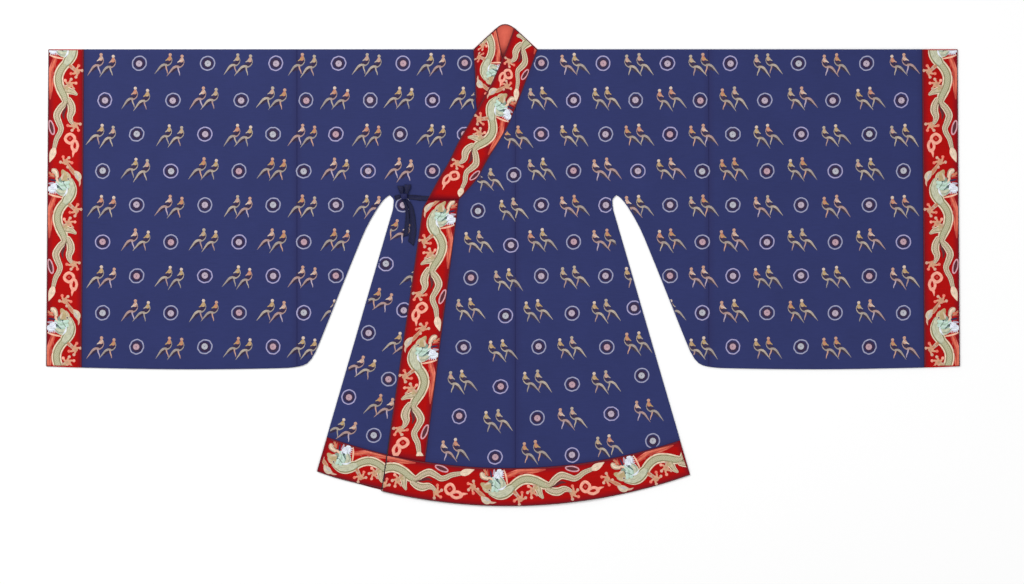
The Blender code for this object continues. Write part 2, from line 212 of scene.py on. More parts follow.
def line_of(rows, key, column):
    """One line of the cut: the column as a function of the key."""
    return lambda at: value(rows, key, column, at)


side_x = line_of(SIDE, "depth", "x")
underarm = line_of(UNDERARM, "x", "depth")
inner_edge = line_of(INNER_EDGE, "depth", "x")
band_edge = line_of(FRONT_BAND, "depth", "edge")


def right_side_x(depth):
    return -side_x(depth)


def band_seam(depth):
    """Where the collar, then the front band, is sewn to the outer overlap."""
    if depth < COLLAR_END:
        return value(ARMS, "depth", "outer_sewn", depth)
    return value(FRONT_BAND, "depth", "seam", depth)


def relief(x, depth):
    """How far the front's cloth stands off its flat form: slow waves and the creases."""
    rise = 0.45 + 0.3 * noise.noise(Vector((x / 210, depth / 240, 3.7)))
    rise += 0.1 * noise.noise(Vector((x / 60, depth / 75, 9.1)))
    for crease in CREASES:
        off_x, off_depth = x - crease["x"], depth - crease["depth"]
        if abs(off_x) + abs(off_depth) > crease["length"]:
            continue
        turn = math.radians(crease["turn"])
        along = off_x * math.cos(turn) + off_depth * math.sin(turn)
        across = off_depth * math.cos(turn) - off_x * math.sin(turn)
        fade = max(0.0, 1 - (2 * along / crease["length"]) ** 2)
        rise += crease["rise"] * fade**2 * math.exp(-((2 * across / crease["width"]) ** 2))
    return max(rise, 0.02)


def inner_height(x, depth):
    return INNER_Z + relief(x, depth)


def outer_height(x, depth):
    lowered = LAYER * ease((x - inner_edge(depth) - RAMP_START) / RAMP_LENGTH)
    return OUTER_Z - lowered + relief(x, depth)


def back_height(x, depth):
    return BACK_Z


# ---- materials ----
class Nodes:
    """Short names for adding and linking the nodes of one material."""

    def __init__(self, material):
        self.material = material
        material.use_nodes = True
        self.tree = material.node_tree
        self.shader = self.tree.nodes["Principled BSDF"]

    def add(self, kind, **settings):
        """A node with its settings, and with values for its inputs."""
        node = self.tree.nodes.new("ShaderNode" + kind)
        for key, setting in settings.items():
            if hasattr(node, key):
                setattr(node, key, setting)
            else:
                node.inputs[key.replace("_", " ").title()].default_value = setting
        return node

    def link(self, source, target):
        self.tree.links.new(source, target)

    def over(self, vector, kind, **settings):
        """A node that takes its place on the cloth from an output."""
        node = self.add(kind, **settings)
        self.link(vector, node.inputs["Vector"])
        return node

    def tint(self, factor, first, second, start, end):
        """Base colour between two tones, by a factor output from start to end."""
        ramp = self.add("ValToRGB")
        for element, colour, position in zip(ramp.color_ramp.elements, (first, second), (start, end)):
            element.color, element.position = (*colour, 1), position
        self.link(factor, ramp.inputs["Fac"])
        self.link(ramp.outputs["Color"], self.shader.inputs["Base Color"])

    def blend(self, factor, colour):
        """Turns the base colour to another one as a factor output goes down."""
        base = self.shader.inputs["Base Color"]
        mix = self.add("Mix", data_type="RGBA")
        mix.inputs["A"].default_value = (*colour, 1)
        self.link(factor, mix.inputs["Factor"])
        self.link(base.links[0].from_socket, mix.inputs["B"])
        self.link(mix.outputs["Result"], base)

    def bump(self, height, distance, strength, after=None):
        node = self.add("Bump", Distance=distance, Strength=strength)
        self.link(height, node.inputs["Height"])
        if after:
            self.link(after.outputs["Normal"], node.inputs["Normal"])
        return node

    def finish(self, normal, roughness, sheen, sheen_roughness, specular):
        self.link(normal.outputs["Normal"], self.shader.inputs["Normal"])
        sockets = ("Roughness", "Sheen Weight", "Sheen Roughness", "Specular IOR Level")
        for socket, number in zip(sockets, (roughness, sheen, sheen_roughness, specular)):
            self.shader.inputs[socket].default_value = number
        return self.material


def shade(colour, factor):
    return tuple(min(1.0, channel * factor) for channel in colour)


def woven(name, colour, edge_shade, thread=0.9, contrast=0.12, roughness=0.6, sheen=0.035, specular=0.16):
    """Silk ground: warp and weft threads crossing, slubs and slow changes of tone, with painted shade
    darkening it towards its borders.
    """
    nodes = Nodes(bpy.data.materials.new(name))
    where = nodes.add("TexCoord").outputs["Object"]
    slow = nodes.over(where, "TexNoise", Scale=7.0, Detail=5.0, Roughness=0.62)
    stretched = nodes.over(where, "Mapping", Scale=(34.0, 420.0, 34.0))
    slub = nodes.over(stretched.outputs["Vector"], "TexNoise", Scale=1.0, Detail=3.0)
    mixed = nodes.add("Math", operation="ADD")
    nodes.link(slow.outputs["Fac"], mixed.inputs[0])
    nodes.link(slub.outputs["Fac"], mixed.inputs[1])
    halved = nodes.add("Math", operation="MULTIPLY")
    nodes.link(mixed.outputs[0], halved.inputs[0])
    halved.inputs[1].default_value = 0.5
    nodes.tint(halved.outputs[0], shade(colour, 1 - contrast), shade(colour, 1 + contrast), 0.3, 0.7)
    # painted shade: the cloth turns to its edge shade colour close to its borders
    nodes.blend(nodes.add("Attribute", attribute_name="inland").outputs["Fac"], edge_shade)
    last = None
    bands = dict(wave_type="BANDS", Scale=100.0 * math.pi / thread, Distortion=0.6)
    for direction in ("X", "Y"):
        wave = nodes.over(where, "TexWave", bands_direction=direction, **bands)
        last = nodes.bump(wave.outputs["Fac"], 0.00012, 0.5, last)
    last = nodes.bump(slub.outputs["Fac"], 0.0003, 0.35, last)
    return nodes.finish(last, roughness, sheen, 0.35, specular)


def paint_shade_down(material, colour, start, end):
    """Painted shade: turns a cloth to another colour down the robe, between two depths."""
    nodes = Nodes(material)
    split = nodes.over(nodes.add("TexCoord").outputs["Object"], "SeparateXYZ")
    share = nodes.add("MapRange", From_Min=(SHOULDER_Y - end) * MM, From_Max=(SHOULDER_Y - start) * MM)
    nodes.link(split.outputs["Y"], share.inputs["Value"])
    nodes.blend(share.outputs["Result"], colour)


STITCH, SCALE_SIZE = 0.7, 4.2  # from one stitch, or one row of scales, to the next


def stitched(name, colour):
    """Floss laid side by side across a figure: fine ridges along its length."""
    nodes = Nodes(bpy.data.materials.new(name))
    where = nodes.add("UVMap").outputs["UV"]
    patches = nodes.over(where, "TexNoise", Scale=0.12, Detail=3.0)
    nodes.tint(patches.outputs["Fac"], shade(colour, 0.84), shade(colour, 1.16), 0.32, 0.68)
    form = dict(wave_type="BANDS", bands_direction="X", Distortion=1.4, Detail=1.0)
    ridges = nodes.over(where, "TexWave", Scale=math.pi / 10 / STITCH, **form)
    return nodes.finish(nodes.bump(ridges.outputs["Fac"], 0.0002, 0.6), 0.45, 0.05, 0.3, 0.25)


NAVY = (0.0196, 0.0268, 0.114)
RED = (0.372, 0.0016, 0.0012)
CORAL = (0.61, 0.105, 0.066)
# The second colour of each cloth is painted shade, laid along its borders.
brocade = woven("navy_brocade", NAVY, (0.0176, 0.0205, 0.094))
RED_EDGE_SHADE = (0.13, 0.003, 0.010)
band_silk = woven("red_band_silk", RED, RED_EDGE_SHADE, contrast=0.16, roughness=0.55, sheen=0.0, specular=0.06)
lining_silk = woven("coral_lining_silk", CORAL, (0.42, 0.055, 0.035), contrast=0.06, roughness=0.5)
# painted shade: the coral lining darkens to dark red down towards the tip of the collar's V
paint_shade_down(lining_silk, (0.15, 0.007, 0.008), start=-12.0, end=12.0)
TIE, TIE_EDGE_SHADE = (0.0065, 0.0085, 0.062), (0.003, 0.004, 0.026)
ribbon_silk = woven("tie_ribbon_silk", TIE, TIE_EDGE_SHADE, thread=0.7, roughness=0.5, sheen=0.0, specular=0.2)

# Colours of the threads, in linear RGB.
THREADS = dict(
    night=(0.021, 0.009, 0.048), dusk=(0.024, 0.012, 0.044), lilac=(0.34, 0.31, 0.50),
    haze=(0.30, 0.30, 0.43), pale=(0.40, 0.40, 0.45), pearl=(0.42, 0.34, 0.42),
    rose_grey=(0.44, 0.28, 0.33), bone=(0.56, 0.46, 0.34), ash=(0.39, 0.34, 0.28),
    pink_ash=(0.36, 0.235, 0.215), smoke=(0.31, 0.262, 0.232), pith=(0.405, 0.34, 0.275),
    milk=(0.60, 0.48, 0.40), rosy=(0.50, 0.29, 0.215), tan=(0.45, 0.30, 0.17),
    ochre=(0.43, 0.28, 0.11), rust=(0.47, 0.19, 0.11), blush=(0.58, 0.36, 0.27),
    cream=(0.74, 0.57, 0.42), gold=(0.43, 0.325, 0.165), olive=(0.23, 0.21, 0.10),
    celadon=(0.40, 0.385, 0.24), celadon_pale=(0.49, 0.50, 0.365), sage=(0.21, 0.28, 0.22),
    aqua=(0.44, 0.60, 0.50), teal=(0.075, 0.115, 0.11), snow=(0.68, 0.72, 0.80),
    flame=(0.46, 0.050, 0.030), ember=(0.64, 0.135, 0.075), salmon=(0.78, 0.19, 0.135),
    shell=(0.80, 0.34, 0.25), orchid=(0.60, 0.31, 0.36), copper=(0.47, 0.20, 0.11),
    apricot=(0.59, 0.28, 0.17), peach=(0.80, 0.46, 0.32), fawn=(0.50, 0.41, 0.27),
    piping=(0.020, 0.008, 0.014), maroon=(0.095, 0.008, 0.012), celadon_scales=(0.42, 0.405, 0.255),
    fawn_scales=(0.50, 0.40, 0.28),
)
THREAD_NAMES = list(THREADS)
thread_materials = [stitched("thread_" + name, colour) for name, colour in THREADS.items()]


def scale_pattern(thread):
    """Rows of small scales over a thread's material, darker between them."""
    nodes, colour = Nodes(thread_materials[THREAD_NAMES.index(thread)]), THREADS[thread]
    where = nodes.add("UVMap").outputs["UV"]
    size = (1 / SCALE_SIZE, 1 / SCALE_SIZE, 1)
    turned = nodes.over(where, "Mapping", Rotation=(0, 0, math.radians(45)), Scale=size)
    cells = nodes.over(turned.outputs["Vector"], "TexVoronoi", Scale=1.0, Randomness=0.12)
    nodes.tint(cells.outputs["Distance"], shade(colour, 1.1), shade(colour, 0.74), 0.32, 0.62)


scale_pattern("celadon_scales")
scale_pattern("fawn_scales")


# ---- cloth shells ----
def place(point):
    x, depth, z = point
    return (x * MM, (SHOULDER_Y - depth) * MM, z * MM)


def carried(piece, slot, *nodes):
    """The piece rides with the robe's one body and stands for CAD nodes."""
    bpy.context.scene.collection.objects.link(piece)
    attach(piece, "root")
    if nodes:
        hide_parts(*nodes)
    return piece


def mark_inland(mesh, border):
    """How far each point lies from the cloth's borders, as a share of the width of the painted edge shade.
    """
    tree = KDTree(len(border))
    for i, point in enumerate(border):
        tree.insert(point, i)
    tree.balance()
    inland = [1.0] * len(mesh.vertices)
    if border:
        inland = [min(tree.find(vertex.co)[2] / (EDGE_SHADE_WIDTH * MM), 1) for vertex in mesh.vertices]
    mesh.attributes.new("inland", "FLOAT", "POINT").data.foreach_set("value", inland)


def shell(name, patches, materials, closed=False, wall=CLOTH, as_wound=False):
    """A thin wall over grids of points that are joined along their shared edges."""
    shape = bmesh.new()
    for rows in patches:
        grid = [[shape.verts.new(place(point)) for point in row] for row in rows]
        for near, far in zip(grid, grid[1:]):
            if closed:
                near, far = near + near[:1], far + far[:1]
            for a, b, c, d in zip(near, near[1:], far[1:], far):
                shape.faces.new((a, b, c, d))
    bmesh.ops.remove_doubles(shape, verts=shape.verts, dist=0.01 * MM)
    if not as_wound:
        bmesh.ops.recalc_face_normals(shape, faces=shape.faces)
    border = [vertex.co.copy() for vertex in shape.verts if vertex.is_boundary]
    mesh = bpy.data.meshes.new(name)
    shape.to_mesh(mesh)
    shape.free()
    mesh.shade_smooth()
    mark_inland(mesh, border)
    for material in materials:
        mesh.materials.append(material)
    piece = bpy.data.objects.new(name, mesh)
    thick = piece.modifiers.new("wall", "SOLIDIFY")
    thick.thickness = wall * MM
    thick.offset = 0
    thick.material_offset = len(materials) - 1
    return piece


def steps(start, end, spacing=GRID, rolled=(False, False)):
    """Values from start to end, with one extra close to each rolled end."""
    count = max(1, math.ceil(abs(end - start) / spacing))
    values = [start + (end - start) * i / count for i in range(count + 1)]
    direction = math.copysign(EDGE_ROLL, end - start)
    if rolled[0]:
        values.insert(1, start + direction)
    if rolled[1]:
        values.insert(-1, end - direction)
    return values


def shares(length, spacing=GRID, rolled=(True, True)):
    return [mark / length for mark in steps(0.0, length, spacing, rolled)]


def dipped(rows, top=False, bottom=False, last=True):
    """Turns borders of a grid down, as an edge pressed at its seam: each row's first point, and others."""

    def down(point):
        return (point[0], point[1], point[2] - EDGE_DIP)

    if top:
        rows[0] = [down(point) for point in rows[0]]
    if bottom:
        rows[-1] = [down(point) for point in rows[-1]]
    for row in rows:
        row[0] = down(row[0])
        if last:
            row[-1] = down(row[-1])
    return rows


def panel(lefts, rights, top, bottom, height, row_shares, column_shares):
    """Grid between two side lines (x from depth) and two end lines (depth from x)."""
    rows = []
    for step in row_shares:
        row = []
        for share in column_shares:
            depth = top(0) + step * (bottom(0) - top(0))
            for _ in range(6):
                x = lefts(depth) + share * (rights(depth) - lefts(depth))
                depth = top(x) + step * (bottom(x) - top(x))
            row.append((x, depth, height(x, depth)))
        rows.append(row)
    return rows


def above_hem_band(x):
    return band_top(x) - HALF_SEAM


def below_seam(x):
    return band_top(x) + HALF_SEAM


def level(depth):
    return lambda x: depth


def upright(x):
    return lambda depth: x


def fold(top_points, outward):
    """Rows of a rounded folded edge, from the upper layer's edge round to the back layer's."""
    rows = []
    for step in range(ARC_STEPS + 1):
        angle = math.pi * step / ARC_STEPS
        row = []
        for (x, depth, z), (out_x, out_depth) in zip(top_points, outward):
            radius = (z - BACK_Z) / 2
            inward = radius * (1 - math.sin(angle))
            height = BACK_Z + radius * (1 + math.cos(angle))
            row.append((x - inward * out_x, depth - inward * out_depth, height))
        rows.append(row)
    return rows


def course(points, i, closed=False):
    """The step from before one point of a path to after it, and the step's length."""
    before = points[i - 1] if i or closed else points[i]
    after = points[(i + 1) % len(points)] if closed or i + 1 < len(points) else points[i]
    along_x, along_depth = after[0] - before[0], after[1] - before[1]
    return along_x, along_depth, math.hypot(along_x, along_depth) or 1.0


def outward_normals(points, side):
    """Unit normals of a path on the plan, on the given side of it (+1 or -1)."""
    normals = []
    for i in range(len(points)):
        along_x, along_depth, length = course(points, i)
        normals.append((side * along_depth / length, -side * along_x / length))
    return normals


def arm_sewn_x(side, depth):
    return value(ARMS, "depth", "outer_sewn" if side == "left" else "inner_sewn", depth)


def neck_x(side, depth):
    """Back neckline: a quarter of an ellipse from the collar's foot to the centre back seam."""
    return arm_sewn_x(side, 0) * math.sqrt(max(1 - (depth / NECK_DIP) ** 2, 0))


def back_inner(side, depth):
    return neck_x(side, max(depth - SEAM, 0)) + SIGN[side] * HALF_SEAM


def front_inner(side, depth):
    if side == "left":
        return max(arm_sewn_x(side, depth) + SLANT_SEAM, OUTER_CENTRE_SEAM + HALF_SEAM)
    return min(arm_sewn_x(side, depth) - SLANT_SEAM, -HALF_SEAM)


ARM_COLUMNS = [274, 277, 281, 286, 292, 300] + [*range(310, 490, 10)]
ARM_COLUMNS += [SLEEVE_SEAM - HALF_SEAM - EDGE_ROLL, SLEEVE_SEAM - HALF_SEAM]
FRONT_DEPTHS = steps(0.0, ARMPIT_DEPTH)
BACK_DEPTHS = [0, 5, 9, 13, 17, 20, 22, 23.4, NECK_DIP + SEAM] + steps(34.0, ARMPIT_DEPTH, 24)
SKIRT_SHARES = [0, 0.006, 0.012, 0.02, 0.03, 0.042, 0.058]  # closer together below the armpit
SKIRT_SHARES += [i / 50 for i in range(4, 50)] + [1 - 0.0037, 1]
BODY_WIDTH = 290.0
BODY_SHARES = shares(BODY_WIDTH, rolled=(True, False))


def upper_rows(side, inner, height, depths):
    """A body cloth from the shoulder to the armpit's level, and down the hanging edge to the sleeve."""
    sign = SIGN[side]
    rows = []
    for depth in depths:
        inner_x = sign * inner(side, depth)
        row = [(inner_x + share * (ARMPIT_X - inner_x), depth) for share in BODY_SHARES]
        row += [(x, depth / ARMPIT_DEPTH * underarm(x)) for x in ARM_COLUMNS]
        rows.append([(sign * x, down, height(sign * x, down)) for x, down in row])
    return rows


def skirt_rows(side, inner, height):
    return panel(
        upright(inner(side, ARMPIT_DEPTH)),
        lambda depth: SIGN[side] * side_x(depth),
        level(ARMPIT_DEPTH),
        above_hem_band,
        height,
        SKIRT_SHARES,
        BODY_SHARES,
    )


def body_half(side):
    front_height = outer_height if side == "left" else inner_height
    front_top = dipped(upper_rows(side, front_inner, front_height, FRONT_DEPTHS))
    front_skirt = dipped(skirt_rows(side, front_inner, front_height), bottom=True, last=False)
    back_top = upper_rows(side, back_inner, back_height, BACK_DEPTHS)
    back_skirt = skirt_rows(side, back_inner, back_height)
    shoulder = fold(front_top[0], [(0, -1)] * len(front_top[0]))
    front_top[0], back_top[0] = shoulder[0], shoulder[-1]
    arm_count = len(ARM_COLUMNS)  # the edge runs up the hanging sleeve, then down the side
    line = front_top[-1][: -arm_count - 1 : -1] + [row[-1] for row in front_skirt]
    under = fold(line, outward_normals(line, SIGN[side]))
    for top, skirt, edge in ((front_top, front_skirt, under[0]), (back_top, back_skirt, under[-1])):
        top[-1][-arm_count:] = edge[arm_count - 1 :: -1]
        top[-1][len(BODY_SHARES) - 1] = edge[arm_count]
        for row, point in zip(skirt, edge[arm_count:]):
            row[-1] = point
    front_top[-1][0] = front_skirt[0][0]
    name = "body_" + side
    patches = [front_top, front_skirt, back_top, back_skirt, shoulder, under]
    piece = carried(shell("brocade_" + name, patches, [brocade]), "brocade", name)


def cuff_line(top, low, depth):
    return top + (low - top) * depth / CUFF_DEPTH


def cuff_seam(depth):
    return cuff_line(CUFF_SEAM_TOP, CUFF_SEAM_LOW, depth)


def cuff_edge(depth):
    return cuff_line(CUFF_EDGE_TOP, CUFF_EDGE_LOW, depth)


def beside_cuff_seam(off):
    return lambda depth: cuff_seam(depth) + off


def tube(name, side, start, end, length, material):
    """A flattened tube between two lines across the sleeve, each x from depth."""
    sign = SIGN[side]
    sections = []
    for share in shares(length):
        dip = EDGE_DIP if share in (0, 1) else 0.0

        def across(depth):
            return start(depth) + share * (end(depth) - start(depth))

        low = underarm(across(CUFF_DEPTH))
        front = [(across(depth) * sign, depth) for depth in steps(0.0, low)]
        front = [(x, depth, inner_height(x, depth) - dip) for x, depth in front]
        low_fold = [row[0] for row in fold([front[-1]], [(0, 1)])]
        top_fold = [row[0] for row in fold([front[0]], [(0, -1)])][::-1]
        back = [(across(depth) * sign, depth, BACK_Z) for depth in steps(low, 0.0, 40.0)]
        sections.append(front[1:-1] + low_fold + back[1:-1] + top_fold)
    return shell(name, [sections], [material], closed=True)


def sleeve(side):
    start, end = upright(SLEEVE_SEAM + HALF_SEAM), beside_cuff_seam(-HALF_SEAM)
    length = cuff_seam(CUFF_DEPTH) - SLEEVE_SEAM
    piece = tube("brocade_sleeve_" + side, side, start, end, length, brocade)
    carried(piece, "brocade", "sleeve_" + side)


def cuff(side):
    start, width = beside_cuff_seam(HALF_SEAM), CUFF_EDGE_TOP - CUFF_SEAM_TOP
    piece = tube("band_cuff_" + side, side, start, cuff_edge, width, band_silk)
    carried(piece, "border", "cuff_" + side)


# ---- collar ----
COLLAR_SHARES = shares(75.0)


def ribbon_section(sewn, free, height):
    row = []
    for share in COLLAR_SHARES:
        x, depth = (s + share * (f - s) for s, f in zip(sewn, free))
        row.append((x, depth, height(x, depth)))
    if height is not back_height:
        dipped([row])
    return row


def arm_ends(name, depth):
    """Sewn and free end of a collar arm's section."""
    ends = [value(ARMS, "depth", name + end, depth) for end in ("_sewn", "_free", "_free_depth")]
    return (ends[0], depth), (ends[1], ends[2])


def collar_arm(name, height):
    return [ribbon_section(*arm_ends(name, depth), height) for depth in steps(6.0, COLLAR_END - HALF_SEAM)]


def collar_fold(side, height):
    line = ribbon_section(*arm_ends("outer" if side == "left" else "inner", 0), height)
    return fold(line, outward_normals(line, -SIGN[side]))


def roof_point(share):
    """Free edge of the back of the collar, from the wearer's right to the left."""
    x = ROOF[0]["x"] + share * (ROOF[-1]["x"] - ROOF[0]["x"])
    return x, value(ROOF, "x", "depth", x)


def neck_ends(share):
    """Sewn and free end of a section of the back of the collar, from the wearer's right to the left."""
    angle = math.pi * (1 - share)
    side = "left" if share >= 0.5 else "right"
    return (arm_sewn_x(side, 0) * abs(math.cos(angle)), NECK_DIP * math.sin(angle)), roof_point(share)


def collar():
    back = [ribbon_section(*neck_ends(i / NECK_STEPS), back_height) for i in range(1, NECK_STEPS)]
    sections = collar_arm("inner", inner_height)[::-1] + collar_fold("right", inner_height)
    sections += back + collar_fold("left", outer_height)[::-1] + collar_arm("outer", outer_height)
    piece = shell("band_collar", [sections], [band_silk, lining_silk], as_wound=True)
    carried(piece, "border", "collar")


# ---- overlaps and flat bands ----
OVERLAP_TOP, OVERLAP_WIDTH, OVERLAP_LENGTH = 146.0, 150.0, 640.0
INNER_TOP, INNER_SPACING = 312.0, 20.0
BAND_WIDTH, BAND_LENGTH = 88.0, 630.0


def overlap_outer():
    upper = []
    for depth in [OVERLAP_TOP] + steps(OVERLAP_TOP + 6.0, COLLAR_END):
        left, right = band_seam(depth) + SLANT_SEAM, OUTER_CENTRE_SEAM - HALF_SEAM
        xs = [left + share * (right - left) for share in shares(OVERLAP_WIDTH)]
        upper.append([(x, depth, outer_height(x, depth)) for x in xs])
    lower = panel(
        lambda depth: band_seam(depth) + SLANT_SEAM,
        upright(OUTER_CENTRE_SEAM - HALF_SEAM),
        level(COLLAR_END),
        above_hem_band,
        outer_height,
        shares(OVERLAP_LENGTH, rolled=(False, True)),
        shares(OVERLAP_WIDTH),
    )
    patches = [dipped(upper), dipped(lower, bottom=True)]
    upper[-1] = lower[0]
    piece = carried(shell("brocade_overlap_outer", patches, [brocade]), "brocade", "overlap_outer")


def overlap_inner():
    collar_share = 0.4  # the collar's part of the overlap's width where the panels meet
    upper = []
    for depth in steps(INNER_TOP, COLLAR_END):
        left, right = HALF_SEAM, arm_sewn_x("right", depth) - SLANT_SEAM
        if depth == COLLAR_END:
            right = left + collar_share * (inner_edge(depth) - left)
        xs = [left + share * (right - left) for share in (0, 0.25, 0.5, 0.75, 1)]
        upper.append([(x, depth, inner_height(x, depth)) for x in xs])
    lower = panel(
        upright(HALF_SEAM),
        inner_edge,
        level(COLLAR_END),
        above_hem_band,
        inner_height,
        shares(OVERLAP_LENGTH, INNER_SPACING),
        [collar_share * i / 4 for i in range(5)] + [0.5, 0.6, 0.7, 0.8, 0.9, 0.98, 1],
    )
    piece = carried(shell("brocade_overlap_inner", [upper, lower], [brocade]), "brocade", "overlap_inner")


def front_band():
    rows = panel(
        band_edge,
        band_seam,
        level(COLLAR_END + HALF_SEAM),
        above_hem_band,
        outer_height,
        shares(BAND_LENGTH),
        shares(BAND_WIDTH),
    )
    dipped(rows, top=True, bottom=True)
    piece = carried(shell("band_front", [rows], [band_silk]), "border", "front_band")


def hem_band(name, lefts, rights, height, low_edge, width):
    rows = panel(lefts, rights, below_seam, low_edge, height, shares(HEM_BAND), shares(width))
    if height is not back_height:
        dipped(rows, top=True, bottom=True)
    piece = carried(shell("band_" + name, [rows], [band_silk]), "border", name)


for wearer_side in ("left", "right"):
    body_half(wearer_side)
    sleeve(wearer_side)
    cuff(wearer_side)
overlap_inner()
overlap_outer()
collar()
front_band()
hem_band("hem_band_back", right_side_x, side_x, back_height, back_hem_depth, 886.0)
hem_band("hem_band_inner", right_side_x, inner_edge, inner_height, inner_hem_depth, 621.0)
hem_band("hem_band_outer", band_edge, side_x, outer_height, hem_depth, 737.0)


# ---- raised figures ----
SINK = 0.08  # a stitched line's edges lie this far in the cloth
BAND = 85.0  # width that the border is drawn to
CRUSHED = 0.002  # faces with less plan area than half of this, in square mm, are left out


def curve(path, widths, closed, spacing):
    """Points with widths along a smooth curve through a path."""
    rows = [(*point, width) for point, width in zip(path, widths)]
    count = len(rows)
    found = []

    def between(a, b, c, d, t):
        bend, turn = 2 * a - 5 * b + 4 * c - d, 3 * b - a - 3 * c + d
        return 0.5 * (2 * b + (c - a) * t + bend * t**2 + turn * t**3)

    for i in range(count if closed else count - 1):
        near = [rows[j % count] if closed else rows[min(max(j, 0), count - 1)] for j in range(i - 1, i + 3)]
        parts = max(2, round(math.dist(near[1][:2], near[2][:2]) / spacing))
        for step in range(parts):
            found.append(tuple(between(*four, step / parts) for four in zip(*near)))
    return found if closed else found + [rows[-1]]


class Figures:
    """Raised stitching of one panel, gathered into one mesh over its cloth."""

    def __init__(self, name, height, inside, face=1, lift=1.0):
        self.name, self.height, self.inside, self.face, self.lift = name, height, inside, face, lift
        self.points, self.marks, self.faces, self.threads = [], [], [], []

    def draw_in(self, where, full):
        """Sets the plane (u, v), which where turns into (x, depth), and the rise that 1.0 stands for."""
        self.where, self.full = where, full

    def add(self, u, v, mark, rise):
        """One point, or an empty one outside the panel."""
        spot = self.where(u, v)
        if spot is None or not self.inside(*spot):
            self.points.append(None)
        else:
            z = self.height(*spot) + self.face * (CLOTH / 2 + (rise * self.full - SINK) * self.lift)
            self.points.append((*spot, z))
        self.marks.append(mark)

    def quads(self, first, rows, columns, closed, thread):
        for i in range(rows if closed else rows - 1):
            near, far = first + i * columns, first + (i + 1) % rows * columns
            for j in range(columns - 1):
                corners = (near + j, near + j + 1, far + j + 1, far + j)
                if all(self.points[corner] for corner in corners):
                    self.faces.append(corners)
                    self.threads.append(THREAD_NAMES.index(thread))

    def line(self, path, widths, thread, rise=1.0, closed=False, spacing=3.0):
        """A stitched line, of one width or of a width for each point of its path."""
        if isinstance(widths, (int, float)):
            widths = [widths] * len(path)
        samples = [(u, v, max(width, 0.3), 1.0) for u, v, width in curve(path, widths, closed, spacing)]
        if not closed:
            ends = []
            for (u, v, width, _), (u2, v2, *_) in ((samples[0], samples[1]), (samples[-1], samples[-2])):
                reach = 0.35 * width / max(math.dist((u, v), (u2, v2)), 0.01)
                ends.append((u + (u - u2) * reach, v + (v - v2) * reach, 0.45 * width, 0.0))
            samples = [ends[0], *samples, ends[1]]
        widest = max(sample[2] for sample in samples)
        half = 1 if widest < 4 else 2 if widest < 13 else 3
        first, count, travelled = len(self.points), len(samples), 0.0
        for i, (u, v, width, raised) in enumerate(samples):
            along_u, along_v, length = course(samples, i, closed)
            for j in range(-half, half + 1):
                share = math.sin(j / half * math.pi / 2)
                off = share * width / 2
                dome = rise * raised * math.sqrt(max(1 - share * share, 0))
                self.add(u - off * along_v / length, v + off * along_u / length, (travelled, off), dome)
            travelled += math.dist((u, v), samples[(i + 1) % count][:2])
        self.quads(first, count, 2 * half + 1, closed, thread)

    def edged(self, path, widths, fill, edge, rise=1.0, inset=0.68):
        """A line with a narrow edge of another thread and a dark outline, which also stands as painted
        shade round the raised line.
        """
        # the widest maroon layer is a dark outline that is also painted shade round the figure
        layers = [(1, 3.2, "maroon", 0.3), (1, 0, edge, 0.65), (inset, 0, fill, 1)]
        if min(widths) > 2.5 and max(widths) > 12:
            layers.insert(2, (inset + 0.09, 0, "olive", 0.9))
        for share, extra, thread, height in layers:
            self.line(path, [width * share + extra for width in widths], thread, height * rise)

    def disc(self, centre, radius, thread, rise=1.0, sides=10):
        first = len(self.points)
        for ring, raised in ((1.0, 0.0), (0.82, 0.6), (0.5, 0.9), (0.12, 1.0)):
            for j in range(sides + 1):
                angle = 2 * math.pi * j / sides
                u = centre[0] + radius * ring * math.cos(angle)
                v = centre[1] + radius * ring * math.sin(angle)
                self.add(u, v, (u, v), rise * raised)
        self.quads(first, 4, sides + 1, False, thread)

    def ring(self, centre, radii, width, thread, rise=1.0, wobble=0.1, sides=12):
        path = []
        for j in range(sides):
            angle = 2 * math.pi * j / sides
            grow = 1 + wobble * math.sin(3 * angle + centre[0]) * math.sin(5 * angle + centre[1])
            u = centre[0] + radii[0] * grow * math.cos(angle)
            path.append((u, centre[1] + radii[1] * grow * math.sin(angle)))
        self.line(path, width, thread, rise, closed=True, spacing=4.0)

    def build(self, slot):
        kept = []
        for corners, thread in zip(self.faces, self.threads):
            (ax, ad, _), (bx, bd, _), (cx, cd, _), (dx, dd, _) = (self.points[corner] for corner in corners)
            turned = (cx - ax) * (dd - bd) - (cd - ad) * (dx - bx)
            if abs(turned) > CRUSHED:
                kept.append((corners if turned * self.face < 0 else corners[::-1], thread))
        used = sorted({corner for corners, _ in kept for corner in corners})
        place_of = {old: new for new, old in enumerate(used)}
        faces = [[place_of[corner] for corner in corners] for corners, _ in kept]
        mesh = bpy.data.meshes.new(self.name)
        mesh.from_pydata([place(self.points[old]) for old in used], [], faces)
        for material in thread_materials:
            mesh.materials.append(material)
        mesh.polygons.foreach_set("material_index", [thread for _, thread in kept])
        layer = mesh.uv_layers.new(name="stitches")
        for loop in mesh.loops:
            layer.data[loop.index].uv = self.marks[used[loop.vertex_index]]
        mesh.shade_smooth()
        carried(bpy.data.objects.new(self.name, mesh), slot)


def at(x, depth, mirrored=False, scale=1.0, turn=0.0):
    """The plane of one small figure: u across the robe, v up it."""
    cos, sin = math.cos(math.radians(turn)) * scale, math.sin(math.radians(turn)) * scale

    def where(u, v):
        side = -u if mirrored else u
        return x + side * cos - v * sin, depth - side * sin - v * cos

    return where


